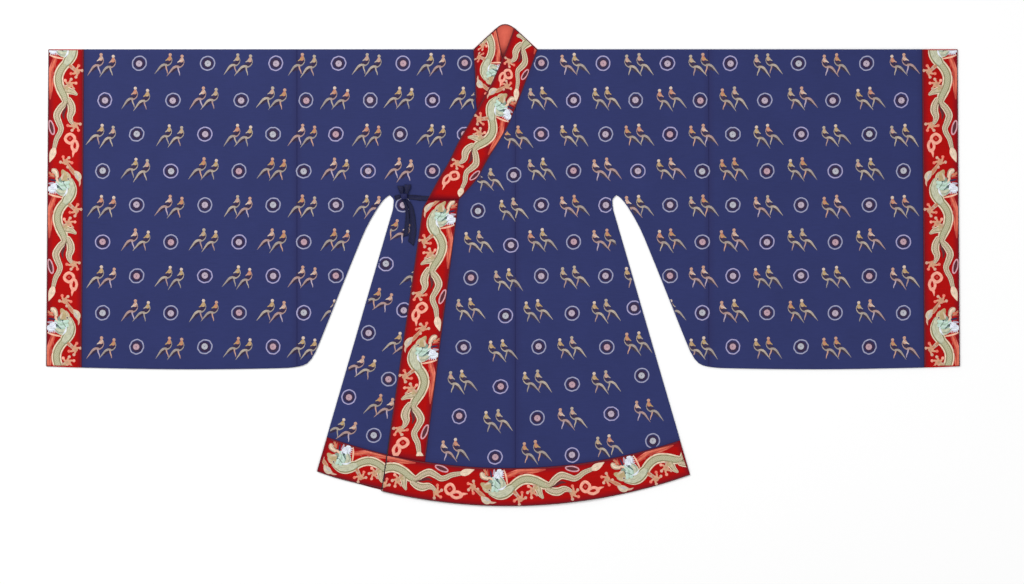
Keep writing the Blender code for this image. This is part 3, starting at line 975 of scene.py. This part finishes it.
PALETTES = table(
    "head chest shoulder body tail leg",
    ("pith", "tan", "pith", "smoke", "pith", "pink_ash"),
    ("milk", "rust", "rosy", "pink_ash", "smoke", "pith"),
    ("milk", "ochre", "pith", "pith", "smoke", "smoke"),
    ("rosy", "rosy", "milk", "pink_ash", "pink_ash", "pearl"),
    ("pith", "rosy", "pith", "smoke", "pith", "pith"),
    ("milk", "tan", "ochre", "smoke", "pith", "pink_ash"),
    ("rosy", "rust", "ochre", "smoke", "smoke", "rosy"),
)
BIRD_STEP, BIRD_DROP = -29.0, 4.2  # from the first bird's head to the second's


def bird(figures, where, colours):
    """A long-tailed bird that stands upright and looks to -u, its head over the middle of the figure."""
    figures.draw_in(where, FIGURE_RISE)

    def line(path, widths, part, rise):
        figures.line(path, widths, colours.get(part, part), rise, spacing=3.6)

    line([(-3, 13), (1, 4), (9, -3), (18, -11), (25, -19)], [10, 18, 21, 17, 7], "dusk", 0.22)
    line([(7, -4), (14, -4), (21, -8), (28, -17), (36, -28)], [4, 6, 5.6, 3.6, 0.8], "tail", 0.9)
    line([(17, -5.5), (24, -11), (30, -19)], [2, 2.4, 1], "smoke", 1.15)
    line([(9, -6), (8, -13), (5.5, -19), (4.5, -25)], [4, 3.4, 2.6, 1.8], "leg", 0.9)
    line([(-4, 13), (-5, 6), (-1.5, -1.5), (5, -5.5), (11, -5)], [1.6, 2.2, 2.6, 3.8, 4.8], "body", 1.0)
    line([(-5, 4.5), (3, 3.5), (13, 0.5)], [3.6, 6.2, 2.6], "night", 0.9)
    line([(0, 18), (1, 13.5), (2, 9.5)], [4.2, 8, 11], "chest", 1.1)
    line([(-1, 12.5), (4, 10), (11, 6)], [2.4, 4.6, 1.4], "shoulder", 1.3)
    line([(-2, 16), (-4, 10)], [2.6, 1.2], "shoulder", 1.25)
    line([(0, 21), (-4.2, 20)], [3.4, 0.8], "head", 1.1)
    figures.disc((0, 21), 4.1, colours["head"], 1.35)


def bird_pair(figures, x, depth, mirrored, seed, turn):
    draw = random.Random(seed)
    cos, sin = math.cos(math.radians(turn)), math.sin(math.radians(turn))
    for step, drop in ((0.0, 0.0), (BIRD_STEP, BIRD_DROP + draw.uniform(-1.2, 1.2))):
        side = -step if mirrored else step
        middle = x + side * cos + drop * sin, depth - side * sin + drop * cos
        where = at(*middle, mirrored, draw.uniform(0.95, 1.02), turn + draw.uniform(-4, 4))
        bird(figures, where, draw.choice(PALETTES))


def roundel(figures, x, depth, seed):
    draw = random.Random(seed)
    figures.draw_in(at(x, depth, turn=draw.uniform(0, 90)), FIGURE_RISE)
    figures.disc((0, 0), 17.4, "dusk", 0.25, sides=24)
    figures.disc((0, 0), 15.2, "night", 0.45, sides=20)
    rim = draw.choice(("lilac", "haze"))
    figures.ring((0, 0), (16.9, 16.5), 3.5, rim, wobble=draw.uniform(0.02, 0.07), sides=20)
    spot = (draw.uniform(-1, 1), draw.uniform(-1, 1))
    figures.disc(spot, 8.7, draw.choice(("pearl", "pale", "rose_grey", "pearl")), 1.1, sides=9)


COLUMN_START, COLUMN_STEP, SLEEVE_COLUMN, SLEEVE_STEP = 92.0, 77.2, 551.5, 81.8
ROW_START, ROW_STEP, ODD_ROW = 33.3, 85.0, 3.6
BODY_COLUMNS, COLUMNS, ROWS = 6, 12, 9
DRAWN_IN = (6.4, 5.3)  # roundels of the two rows nearest the shoulder lie this much further in
PAIR_OUT, ODD_LIFT = 2.4, 8.0  # pairs of birds lie further out, and those of every other row higher


def column_x(k):
    if k < BODY_COLUMNS:
        return COLUMN_START + COLUMN_STEP * k
    return SLEEVE_COLUMN + SLEEVE_STEP * (k - BODY_COLUMNS)


def row_depth(r):
    return ROW_START + ROW_STEP * r + ODD_ROW * (r % 2)


def lattice(figures, side, skirt=True):
    """Pairs and roundels in turn over one half of the robe, and fanned out on a skirt."""
    for r in range(ROWS):
        for k in range(COLUMNS):
            x, depth, paired = column_x(k), row_depth(r), (k + r) % 2 == 1
            if k < 4 and r > 6 or not skirt and (k < 3 and r > 3 or k == 3 and r > 5):
                continue
            if paired:
                x, depth = x + PAIR_OUT, depth - ODD_LIFT * (r % 2)
            elif k > 1 and r < len(DRAWN_IN):
                x -= DRAWN_IN[r]
            figure(figures, paired, side * x, depth, side < 0, 100 * r + k)
    if skirt:
        for i, row in enumerate(SKIRT_FAN):
            figure(figures, row["paired"], side * row["x"], row["depth"], side < 0, 900 + i)


def figure(figures, paired, x, depth, mirrored, seed, turn=0.0):
    """A pair of birds or a roundel, a little different for every seed."""
    if paired:
        bird_pair(figures, x, depth, mirrored, seed, turn)
    else:
        roundel(figures, x, depth, seed)


# Figures of a skirt below the hip, row by row from the centre out.
SKIRT_FAN = table(
    "x depth paired",
    (84, 623, True), (166, 633, False), (247, 623, True), (315, 620, False),
    (86, 713, False), (165, 712, True), (249, 714, False), (325, 700, True),
    (82, 793, True), (166, 803, False), (247, 794, True), (333, 782, False),
    (82, 884, False), (166, 882, True), (260, 874, False), (349, 863, True),
    (79, 962, True), (166, 973, False), (255, 948, True), (359, 939, False),
)
# Figures down the centre, along the slanting overlap and down the wearer's right skirt, from the top.
CENTRE_COLUMN = table(
    "x depth",
    (36, 208), (26, 301), (25, 380), (19, 470), (13, 550), (6, 639), (0, 719), (-6, 809), (-12, 887),
    (-19, 978),
)
OVERLAP_COLUMN = table(
    "x depth",
    (-31, 309), (-60, 387), (-58, 459), (-77, 548), (-78, 620), (-95, 714), (-98, 793), (-105, 880),
    (-115, 957),
)
SKIRT_COLUMNS = table(
    "x depth paired",
    (-240, 373, False), (-259, 431, True), (-281, 515, False), (-209, 543, True), (-300, 597, True),
    (-238, 625, False), (-250, 702, True), (-323, 680, False), (-341, 759, True), (-274, 791, False),
    (-370, 834, False), (-296, 851, True), (-387, 908, True), (-310, 926, False),
)
SKIRT_TURN = -12.0  # the birds of that skirt lean with its side
BACK_LIFT = 0.4  # figures of the back are pressed flat by the robe's weight
MARGIN = 2.5  # figures stop this far from a panel's edge
NECK_REACH = 86.0  # and this far from the centre, below the back of the neck
SKIRT_REACH, SLEEVE_REACH = 450, 1090  # the hem and the sleeve are tested no further out
HIP_DEPTH = 480  # the sleeve no longer hangs over the side below it


def in_brocade(x, depth):
    """Whether a spot lies inside the edges that the front and the back share, by the margin."""
    reach = abs(x)
    if depth < MARGIN or reach > cuff_seam(depth) - MARGIN:
        return False
    if depth > band_top(max(min(x, SKIRT_REACH), -SKIRT_REACH)) - MARGIN:
        return False
    beside = reach > side_x(depth) - MARGIN
    if reach < ARMPIT_X:
        return depth <= ARMPIT_DEPTH or not beside
    under = depth > underarm(min(reach, SLEEVE_REACH)) - MARGIN
    return not under or depth >= HIP_DEPTH and not beside


def in_front_left(x, depth):
    return in_brocade(x, depth) and x > band_seam(depth) + MARGIN


def in_front_right(x, depth):
    if depth < COLLAR_END and x > arm_sewn_x("right", depth) - MARGIN:
        return False
    return in_brocade(x, depth) and x < -MARGIN


def in_back(x, depth):
    return in_brocade(x, depth) and not (abs(x) < NECK_REACH and depth < NECK_DIP + MARGIN)


def front_left_figures():
    figures = Figures("figures_front_left", outer_height, in_front_left)
    lattice(figures, 1)
    for first, column in ((2000, CENTRE_COLUMN), (2100, OVERLAP_COLUMN)):
        for i, row in enumerate(column):
            figure(figures, i % 2 == 0, row["x"], row["depth"], False, first + i)
    figures.build("brocade")


def front_right_figures():
    figures = Figures("figures_front_right", inner_height, in_front_right)
    lattice(figures, -1, skirt=False)
    for i, row in enumerate(SKIRT_COLUMNS):
        figure(figures, row["paired"], row["x"], row["depth"], True, 2200 + i, SKIRT_TURN)
    figures.build("brocade")


def back_figures():
    for name, side in (("left", 1), ("right", -1)):
        figures = Figures("figures_back_" + name, back_height, in_back, -1, BACK_LIFT)
        lattice(figures, side)
        figures.build("brocade")


front_left_figures()
front_right_figures()
back_figures()


# ---- dragon border ----
REPEAT = 333.0  # from one head to the next on a straight band
RED_RISE, CORD_RISE = 0.55, 0.5
INNER_BORDER_LIFT, BACK_BORDER_LIFT = 0.8, 0.28  # borders under other cloth are pressed flatter
PRESSED_IN = 14.0  # what runs no further than this past a band's end is pressed against it


def toes(figures, centre, radius, turn, thread, nail="salmon"):
    """A spread foot: a palm with five short toes and round claws."""
    for i in range(5):
        angle = math.radians(turn + 62 * (i - 2))
        reach = radius * (1.0 if i % 2 else 0.88)
        middle = (centre[0] + 0.55 * reach * math.cos(angle), centre[1] + 0.55 * reach * math.sin(angle))
        tip = (centre[0] + reach * math.cos(angle + 0.25), centre[1] + reach * math.sin(angle + 0.25))
        figures.line([centre, middle, tip], [7, 5.2, 3.4], thread, 0.75)
        figures.disc(tip, 3.9, nail if i % 2 else "blush", 0.9)
    figures.disc(centre, 0.5 * radius, thread)
    figures.disc(centre, 0.22 * radius, "gold", 1.15, sides=8)


def flames(figures):
    """The strip of cloud and fire along the outer edge."""
    strip = [(12, 68), (26, 69), (42, 75), (60, 78.5), (80, 79), (100, 78.5), (122, 80)]
    figures.line(strip, [5, 13, 13, 11, 11, 10, 3], "flame", 0.3)
    for s in (30, 58, 84):
        figures.line([(s, 74), (s + 8, 69), (s + 17, 66.5)], [7, 4.5, 1], "flame", 0.35)
    middle = [(20, 66), (36, 72), (58, 80), (84, 80.5), (110, 79.5)]
    figures.line(middle, [2, 6.5, 6, 5.5, 1], "ember", 0.55)
    figures.line([(34, 77), (50, 81.5), (70, 81.5)], [1, 3.4, 1], "salmon", 0.7)
    figures.line([(72, 74), (90, 75), (106, 76)], [1, 4, 1], "ember", 0.55)


def jewel(figures):
    """A ring with a longer drop hanging from it."""
    drop = (216.5, 31.5)
    figures.line([(243, 21), (252, 23.5), (261, 24.5)], [9, 6, 1.5], "shell", 0.8)
    figures.ring((234, 20), (12, 7), 7, "shell", 0.9)
    figures.ring(drop, (11, 10.4), 7.4, "shell")
    figures.ring(drop, (12, 11.4), 2.2, "peach", 1.25)
    figures.line([(226, 14), (236, 12.6), (246, 17)], [1, 2.6, 1], "peach", 1.2)
    figures.disc(drop, 3.2, "flame", 0.5, sides=8)


def coin(figures):
    """A slanting oval: a bright rim round a dark middle."""
    points, rim = 14, []
    for i in range(points):
        angle = 2 * math.pi * i / points
        along_s = 16.5 * math.cos(angle)
        rim.append((190 + along_s, 76 - 0.22 * along_s + 5.6 * math.sin(angle)))
    figures.line([(178, 78.6), (190, 76), (202, 73.4)], [6, 11, 6], "maroon", 0.4)
    figures.line(rim, 3.6, "orchid", closed=True, spacing=4.0)
    figures.line([(183, 76.4), (197, 75)], [1.6, 1.6], "night", 0.7)


def head(figures):
    """Crest, brow, mane and snout; the snout points to the outer edge."""
    line, edged, disc = figures.line, figures.edged, figures.disc
    edged([(-57, 38), (-48, 32), (-40, 26), (-32, 20)], [7, 9, 11, 10], "copper", "apricot", 0.8, 0.7)
    toes(figures, (-60, 41), 14.5, 200, "apricot")
    line([(-17, 8), (-9, 7), (-2, 8.5)], [6, 4.5, 1], "blush", 0.8)
    line([(-37, 20), (-31, 14), (-23, 10), (-15, 9)], [7, 15, 15, 5], "bone")
    line([(-33, 17), (-26, 13), (-19, 11.5)], [2, 4, 2], "pale", 1.25)
    line([(-32, 82), (-31, 75), (-31, 68)], [2, 4.5, 2], "ember", 0.8)
    line([(-26, 82), (-25, 74), (-23, 68)], [2.4, 4, 1], "flame", 0.8)
    line([(-18, 79), (-17, 72), (-15, 65)], [3, 6, 4], "night", 0.5)
    line([(-36, 81), (-30, 76), (-25, 69)], [3, 7, 4], "copper", 0.7)
    edged([(-41, 73), (-38.5, 68.5), (-33, 64), (-24, 61)], [10, 15, 13, 8], "cream", "blush", inset=0.76)
    line([(-39, 70), (-34, 66.5), (-29, 66)], [2, 4, 1.5], "bone", 1.3)
    edged([(-28, 61), (-20, 63), (-11, 58)], [5, 7.5, 5], "peach", "ash", 0.95, 0.7)
    for i, (low, thread) in enumerate(((-12, "aqua"), (-2, "aqua"), (8, "celadon_pale"))):
        lock = [(low, 63), (low + 4, 52), (low + 4, 42), (low, 31)]
        line(lock, [8, 16 + i, 17 + i, 8], thread, 0.9 + 0.05 * i)
    line([(-8, 60), (-4, 50), (-5, 40), (-10, 30)], [1, 3, 2.4, 0.8], "sage", 1.25)
    line([(2, 61), (7, 52), (7, 42), (3, 33)], [1, 3.6, 2.8, 1], "sage", 1.3)
    line([(12, 60), (16, 51), (15, 42)], [1, 3.8, 1], "teal", 1.25)
    line([(-16, 58), (-14, 49), (-17, 40)], [1, 3.2, 1], "teal", 1.2)
    line([(5, 67), (12, 60), (20, 55)], [1, 4, 1], "sage", 1.15)
    line([(-7, 64), (0, 57), (7, 49)], [3, 6, 1.5], "teal", 1.3)
    line([(-12, 47), (-4, 43), (5, 35)], [1, 4, 1], "sage", 1.35)
    line([(-6, 30), (2, 26.5), (10, 27.5)], [1, 3, 1], "sage", 1.4)
    line([(-13, 56), (-10, 48), (-11, 39)], [1, 3.4, 1], "snow", 1.3)
    line([(0, 58), (2, 50), (1, 42)], [1, 3.2, 1], "snow", 1.35)
    disc((-1, 60), 3.8, "teal", 1.35, sides=9)
    line([(-40, 49), (-34, 46), (-27, 42), (-18, 39.5)], [7, 14, 20, 24], "gold", 1.0)
    line([(-38, 44), (-32, 38), (-23, 36)], [2, 4, 2], "fawn", 1.2)
    line([(-36, 52), (-28, 50), (-20, 47)], [1.5, 3, 1], "copper", 1.2)
    line([(-34, 46), (-27, 49), (-19, 51.5)], [2.4, 6, 6], "bone", 1.3)
    line([(-36, 38), (-29, 33), (-21, 30)], [2, 5, 4], "fawn", 1.3)
    line([(-30, 43), (-23, 43)], [2, 3], "gold", 1.35)
    line([(-22, 54), (-16, 55), (-11, 51)], [5, 8, 4], "sage", 1.3)
    disc((-19.5, 35), 4.8, "bone", 1.35)
    disc((-19.5, 35), 3.1, "night", 1.6)
    disc((-13, 46), 2.3, "teal", 1.5, sides=8)
    line([(16, 82), (20, 72), (23, 60), (25, 49)], [2.4, 4.4, 4.4, 2], "peach", 0.8)
    for i in range(5):
        line([(9, 60 + 4.7 * i), (16.5, 59.5 + 4.9 * i)], [4, 1.2], "snow", 1.0)
    line([(-8, 61), (-1, 67), (4, 74), (4, 82)], [9, 20, 21, 11], "snow", 1.1)
    line([(-11, 70), (-9, 76), (-9, 82)], [3, 6, 3], "pearl", 1.15)
    line([(-4, 64), (1, 71), (1, 79)], [1, 3, 1], "lilac", 1.4)
    line([(6, 66), (5, 74), (9, 81)], [1, 2.6, 1], "sage", 1.35)
    line([(9, 62), (12, 71), (10, 80)], [1, 2.4, 1], "haze", 1.3)
    disc((-3, 79), 1.9, "teal", 1.5, sides=8)


def dragon(figures):
    """One repeat of the border from its head on: s along the band, t across it from the inner side."""
    line, edged = figures.line, figures.edged
    flames(figures)
    foreleg = [(122, 36), (136, 29.5), (150, 28), (163, 32), (174, 30), (182, 24)]
    edged(foreleg, [15, 19, 20, 16, 11, 8], "fawn_scales", "cream")
    line([(131, 38), (145, 43), (158, 48), (170, 46)], [2, 6, 7, 2], "maroon", 0.8)
    toes(figures, (184, 21), 16, 10, "apricot")
    tail = [(118, 48), (130, 43.5), (143, 55), (160, 63.5), (177, 59), (191, 53.5), (203, 56), (218, 64)]
    tail.append((243, 70))
    edged(tail, [16, 16, 17, 18, 16, 14, 13, 12, 9], "fawn_scales", "cream")
    line([(239, 69), (248, 71.5), (258, 74.5), (273, 80)], [8, 16, 14, 1.5], "cream")
    line([(246, 71), (256, 74)], [4, 5], "bone", 1.15)
    edged([(99, 43), (102, 34), (105, 25), (111, 16)], [20, 17, 13, 6], "fawn", "cream", 0.9)
    edged([(96, 46), (91, 39), (88, 34)], [12, 10, 8], "tan", "blush", 0.9)
    toes(figures, (87, 33), 15, 180, "apricot", "shell")
    figures.disc((97, 39), 4.6, "gold", 1.3, sides=9)
    edged([(40, 34), (48, 25), (55, 18)], [11, 10, 8], "copper", "blush", 0.8)
    toes(figures, (56, 16), 15, 120, "apricot")
    back = [(14, 30), (24, 32.5), (34, 40), (44, 49), (55, 56), (67, 60), (80, 60), (92, 57), (104, 51.5)]
    back += [(116, 45.5), (127, 43)]
    edged(back, [14, 22, 24, 24.5, 25, 25, 25, 25, 25, 23, 16], "celadon_scales", "cream")
    neck = [(-19, 29), (-8, 27), (4, 26), (16, 29.5), (28, 36.5), (38, 43)]
    edged(neck, [9, 18, 25, 30, 29, 23], "celadon_pale", "cream", 1.15, 0.78)
    for s, t, t_middle, t_end in ((-4, 24, 23, 28), (6, 33, 36, 43), (2, 28, 30, 37)):
        line([(s, t), (s + 12, t_middle), (s + 24, t_end)], [1.5, 3.6, 1], "celadon", 1.5)
    line([(0, 37), (12, 39), (22, 46)], [2, 6, 1.5], "snow", 1.5)
    line([(34, 33), (40, 38), (43, 46)], [1, 2.6, 1], "sage", 1.5)
    coin(figures)
    jewel(figures)
    head(figures)


def along(section, start, end):
    """A function from (s, t) to (x, depth) on a band, and the band's length.

    section gives the band's inner and outer edge at a parameter that goes from start to end."""
    count = 240
    marks = [start + (end - start) * i / count for i in range(count + 1)]
    middles = [tuple((a + b) / 2 for a, b in zip(*section(mark))) for mark in marks]
    lengths = [0.0]
    for near, far in zip(middles, middles[1:]):
        lengths.append(lengths[-1] + math.dist(near, far))

    def where(s, t):
        i = min(max(bisect_left(lengths, s) - 1, 0), count - 1)
        mark = marks[i] + (marks[1] - marks[0]) * (s - lengths[i]) / (lengths[i + 1] - lengths[i])
        return tuple(a + (b - a) * (t / BAND) for a, b in zip(*section(mark)))

    return where, lengths[-1]


def everywhere(x, depth):
    return True


def on_outer_hem(x, depth):
    return x > band_edge(depth) + 0.4


def border(name, height, section, start, end, heads, face=1, lift=1.0, inside=everywhere):
    """Dragons with their heads at given lengths along a band, and a dark cord along its edges."""
    figures = Figures(name, height, inside, face, lift)
    where, length = along(section, start, end)

    def held_in(shift, stretch):
        """The band's plane, moved along it and stretched, with nothing past its edges."""

        def spot(s, t):
            s = shift + s * stretch
            if s < -PRESSED_IN or s > length + PRESSED_IN:
                return None
            return where(min(max(s, 0.8), length - 0.8), min(max(t, 0.5), BAND - 0.5))

        return spot

    for head_at, stretch in heads:
        figures.draw_in(held_in(head_at, stretch), RED_RISE)
        dragon(figures)
    figures.draw_in(held_in(0, 1), CORD_RISE)
    for t in (1.2, BAND - 1.2):
        figures.line([(0, t), (length / 2, t), (length, t)], 2.4, "maroon", spacing=8.0)
    figures.build("border")


def cuff_section(side):
    def section(depth):
        return (SIGN[side] * (cuff_seam(depth) + 0.6), depth), (SIGN[side] * cuff_edge(depth), depth)

    return section


def hem_section(low_edge):
    """Section of a hem's border; its parameter is the length along the arc from below the hem's centre."""

    def section(arc):
        angle = arc / HEM_RADIUS
        centre = HEM_DEPTH - HEM_RADIUS
        low_x = HEM_CENTRE + HEM_RADIUS * math.sin(angle)
        lift = hem_depth(low_x) - low_edge(low_x)

        def ends(radius):
            return HEM_CENTRE + radius * math.sin(angle), centre + radius * math.cos(angle)

        return ends(HEM_RADIUS - lift), ends(HEM_RADIUS - HEM_BAND * math.cos(angle) + 0.8)

    return section


def arm_section(name):
    def section(depth):
        sewn, free = arm_ends(name, depth)
        return (free, sewn) if name == "outer" else (sewn, free)

    return section


def front_section(depth):
    return (band_edge(depth), depth), (band_seam(depth), depth)


def borders():
    """Every band's dragons, with (place, size) of their heads from the band's start."""
    bottom = CUFF_DEPTH - 1.0
    heads = [(REPEAT * i - 4, 1.0) for i in range(3)]
    for side in ("left", "right"):
        section = cuff_section(side)
        border("border_cuff_" + side, inner_height, section, 1.5, bottom, heads)
        border("border_cuff_back_" + side, back_height, section, 1.5, bottom, heads, -1, BACK_BORDER_LIFT)
    heads = [(44, 1.0), (371, 1.0)]
    border("border_front_band", outer_height, front_section, COLLAR_END + 1.5, band_top(-250) - 2, heads)
    outer, inner = arm_section("outer"), arm_section("inner")
    border("border_collar_outer", outer_height, outer, 1.0, COLLAR_END - 1.5, [(176, 0.9), (-84, 0.83)])
    border("border_collar_inner", inner_height, inner, 118.0, 1.0, [(50, 0.8)], lift=INNER_BORDER_LIFT)
    outer, inner, back = hem_section(hem_depth), hem_section(inner_hem_depth), hem_section(back_hem_depth)
    heads = [(323 * i - 42, 0.97) for i in range(3)]
    border("border_hem_outer", outer_height, outer, -318.0, 443.0, heads, inside=on_outer_hem)
    border("border_hem_inner", inner_height, inner, -466.0, -260.0, [(45, 0.95)], lift=INNER_BORDER_LIFT)
    heads = [(REPEAT * i - 265, 1.0) for i in range(4)]
    border("border_hem_back", back_height, back, -418.0, 418.0, heads, -1, BACK_BORDER_LIFT)


def piping(name, height, path, widths, spacing, rise=CORD_RISE):
    figures = Figures("piping_" + name, height, everywhere)
    figures.draw_in(lambda x, depth: (x, depth), rise)
    figures.line(path, widths, "piping", spacing=spacing)
    figures.build("border")


borders()
# Dark piping round the folded top of the collar, where it meets the lining, and across the outer hem's end.
piping("collar", back_height, [(row["x"], row["depth"] + 1.6) for row in ROOF], 2.2, 3.0)
piping("fold_left", outer_height, [(28, -49.5), (55, -24.5), (80.5, 1.2)], 2.4, 6.0)
piping("fold_right", inner_height, [(-15.5, -49), (-43, -25), (-69.5, 1.2)], 2.4, 6.0)
lowest = hem_depth(band_edge(HEM_DEPTH)) - 2.0
hem_end = [(band_edge(depth) + 1.5, depth) for depth in (890, 940, 990, lowest)]
piping("hem", outer_height, hem_end, [1.0, 2.4, 3.2, 3.2], 8.0, 0.9)


# ---- tie ----
KNOT_X, KNOT_DEPTH, KNOT_SIZE = -237.0, 353.0, (17.0, 15.0, 7.0)
KNOT_ROWS, KNOT_COLUMNS, KNOT_SQUARENESS = 18, 28, 0.72  # 1 would be an ellipsoid
RIBBON, HALF_RIBBON = 0.7, 6  # thickness of the ribbon's shells, and faces over half its width
STRAP_LOW = -198.0  # the strap lies close to the cloth from here to the front band

# Middle line and width of each ribbon, as (x, depth, width).
RIBBONS = dict(
    tie_strap_front=[
        (-166, 359, 12), (-180, 358, 12), (-196, 357, 12),
        (-212, 355, 11.5), (-224, 354, 10.5), (-228, 354, 9),
    ],
    tie_strap_side=[(-246, 354, 8.5), (-249, 354, 9.5), (-253, 355, 10.5), (-259, 357, 11.5)],
    tie_tail_front=[
        (-231.8, 360, 6), (-223, 374, 9.5), (-218.5, 392, 11.5), (-216, 412, 13),
        (-215.5, 432, 14.5), (-218, 452, 15), (-221, 466, 15),
    ],
    tie_tail_side=[
        (-238.8, 360, 6), (-233, 374, 7), (-229.5, 392, 8),
        (-229.5, 412, 9.5), (-231.5, 432, 11), (-234, 448, 11.5),
    ],
)
LOOP_ROWS, LOOP_RISE, LOOP_FOOT = 22, 3.6, 5.5
# Each loop's foot, lean, length and width.
LOOPS = dict(tie_loop_left=(-231.8, 0.16, 25.0, 15.0), tie_loop_right=(-242.2, -0.16, 22.0, 14.0))


def tie_height(x, depth):
    """Underside of the tie, just above the cloth and its figures."""
    return inner_height(x, depth) + CLOTH / 2 + FIGURE_RISE + RIBBON / 2


def ribbon_piece(name, rows):
    piece = carried(shell("ribbon_" + name, [rows], [ribbon_silk], wall=RIBBON), "tie_ribbon", name)


def ribbon(name, lift, pleat, slant):
    """A flat ribbon, pleated where it leaves the knot, its free end cut on a slant."""
    samples = curve([row[:2] for row in RIBBONS[name]], [row[2] for row in RIBBONS[name]], False, 3.0)
    rows, travelled, area = [], 0.0, 0.0
    for i, (x, depth, width) in enumerate(samples):
        along_x, along_depth, length = course(samples, i)
        end = ease((i - len(samples) + 6) / 5)
        row = []
        for j in range(-HALF_RIBBON, HALF_RIBBON + 1):
            share = j / HALF_RIBBON
            off = share * width / 2
            wave = pleat * math.exp(-travelled / 16) * math.cos(share * 7.5)
            hollow = 0.5 * share * share + 0.35 * math.sin(travelled / 9 + 2.5 * share)
            point_x = x - off * along_depth / length + end * slant * share * along_x / length
            point_depth = depth + off * along_x / length + end * slant * share * along_depth / length
            under = tie_height(point_x, point_depth)
            z = under + lift * math.exp(-travelled / 20) + wave + pleat + hollow + 0.35
            if point_x > STRAP_LOW:
                z = min(z, under - FIGURE_RISE + 0.04 * max(-170 - point_x, 0))
            row.append((point_x, point_depth, z))
        rows.append(row)
        step = math.dist((x, depth), samples[min(i + 1, len(samples) - 1)][:2])
        travelled += step
        area += width * step
    ribbon_piece(name, rows)


def loop(name):
    """A bow's loop: one ribbon out from the knot, round at the tip and back above itself."""
    foot_x, lean, length, width = LOOPS[name]
    rows = []
    for i in range(LOOP_ROWS + 1):
        share = i / LOOP_ROWS
        out = length * math.sin(math.pi * share)
        rise = LOOP_RISE * ease(share)
        wide = LOOP_FOOT + (width - LOOP_FOOT) * ease(out / length * 1.15)
        row = []
        for j in range(-HALF_RIBBON, HALF_RIBBON + 1):
            across = j / HALF_RIBBON
            x = foot_x + lean * out + across * wide / 2
            depth = KNOT_DEPTH - 3.0 - out
            gather = 0.55 * (1 - out / length) * math.cos(across * 8)
            puff = 1.3 * math.sin(math.pi * share) * (1 - across * across) * (2 * share - 0.6)
            z = tie_height(x, depth) + 0.6 + rise + gather + max(puff, -0.5)
            row.append((x, depth - 0.7 * across * across, z))
        rows.append(row)
    ribbon_piece(name, rows)


def knot():
    """The tight turn of ribbon over the loops and tails, with folds that cross it on a slant."""
    rows = []
    for i in range(KNOT_ROWS + 1):
        polar = math.pi * i / KNOT_ROWS
        row = []
        for j in range(KNOT_COLUMNS):
            angle = 2 * math.pi * j / KNOT_COLUMNS
            side = (math.sin(polar) * math.cos(angle), math.sin(polar) * math.sin(angle), math.cos(polar))
            square = [math.copysign(abs(part) ** KNOT_SQUARENESS, part) for part in side]
            crease = math.sin(5.2 * (square[0] * 0.75 + square[1] * 0.55) + 0.6)
            swell = 1 + 0.07 * crease
            x = KNOT_X + square[0] * KNOT_SIZE[0] / 2 * swell
            depth = KNOT_DEPTH + square[1] * KNOT_SIZE[1] / 2 * swell
            z = INNER_Z + 1.2 + KNOT_SIZE[2] / 2 * (1 + square[2] * swell) * 0.96
            row.append((x, depth, z))
        rows.append(row)
    piece = shell("ribbon_tie_knot", [rows], [ribbon_silk], closed=True, wall=0.0)
    piece.modifiers.clear()
    carried(piece, "tie_ribbon", "tie_knot")


def tie():
    ribbon("tie_strap_front", 0.0, 0.25, 0.0)
    ribbon("tie_strap_side", 0.5, 0.3, 0.0)
    ribbon("tie_tail_side", 1.6, 0.5, 3.0)
    ribbon("tie_tail_front", 2.6, 0.6, -4.0)
    for name in LOOPS:
        loop(name)
    knot()


tie()


# ---- stage: floor, light and camera ----
def stage():
    size = 14.0
    mesh = bpy.data.meshes.new("floor")
    corners = [(-size, -size, 0), (size, -size, 0), (size, size, 0), (-size, size, 0)]
    mesh.from_pydata(corners, [], [(0, 1, 2, 3)])
    floor = bpy.data.objects.new("floor", mesh)
    floor.location.z = -WALL / 2 * MM
    nodes = Nodes(bpy.data.materials.new("pale_floor"))
    nodes.shader.inputs["Base Color"].default_value = (0.9, 0.9, 0.9, 1)
    nodes.shader.inputs["Roughness"].default_value = 0.9
    nodes.shader.inputs["Specular IOR Level"].default_value = 0.1
    mesh.materials.append(nodes.material)
    bpy.context.scene.collection.objects.link(floor)


def area_light(name, place_m, aim, size, watts):
    light = bpy.data.lights.new(name, "AREA")
    light.shape, light.size, light.energy = "DISK", size, watts
    lamp = bpy.data.objects.new(name, light)
    lamp.location = place_m
    lamp.rotation_euler = (Vector(aim) - Vector(place_m)).to_track_quat("-Z", "Y").to_euler()
    bpy.context.scene.collection.objects.link(lamp)


def lights_and_camera():
    area_light("key", (-2.6, 2.4, 3.6), (0, 0, 0), 2.4, 142)
    area_light("fill", (2.8, -1.2, 4.2), (0, 0, 0), 3.2, 62)
    world = bpy.data.worlds.new("studio")
    world.use_nodes = True
    world.node_tree.nodes["Background"].inputs["Color"].default_value = (1, 1, 1, 1)
    world.node_tree.nodes["Background"].inputs["Strength"].default_value = 0.62
    bpy.context.scene.world = world
    view = bpy.context.scene.view_settings
    view.view_transform, view.look = "Standard", "None"
    camera = bpy.data.cameras.new("camera")
    camera.lens, camera.sensor_width = 85, 36
    width = PHOTO_WIDTH * PHOTO_MM * MM
    holder = bpy.data.objects.new("camera", camera)
    centre_x = (PHOTO_CENTRE_X - ROBE_CENTRE_PX) * PHOTO_MM
    centre_y = SHOULDER_Y - (PHOTO_CENTRE_Y - SHOULDER_PX) * PHOTO_MM
    holder.location = (centre_x * MM, centre_y * MM, width * camera.lens / camera.sensor_width)
    camera.clip_end = 50
    bpy.context.scene.collection.objects.link(holder)
    bpy.context.scene.camera = holder


stage()
lights_and_camera()
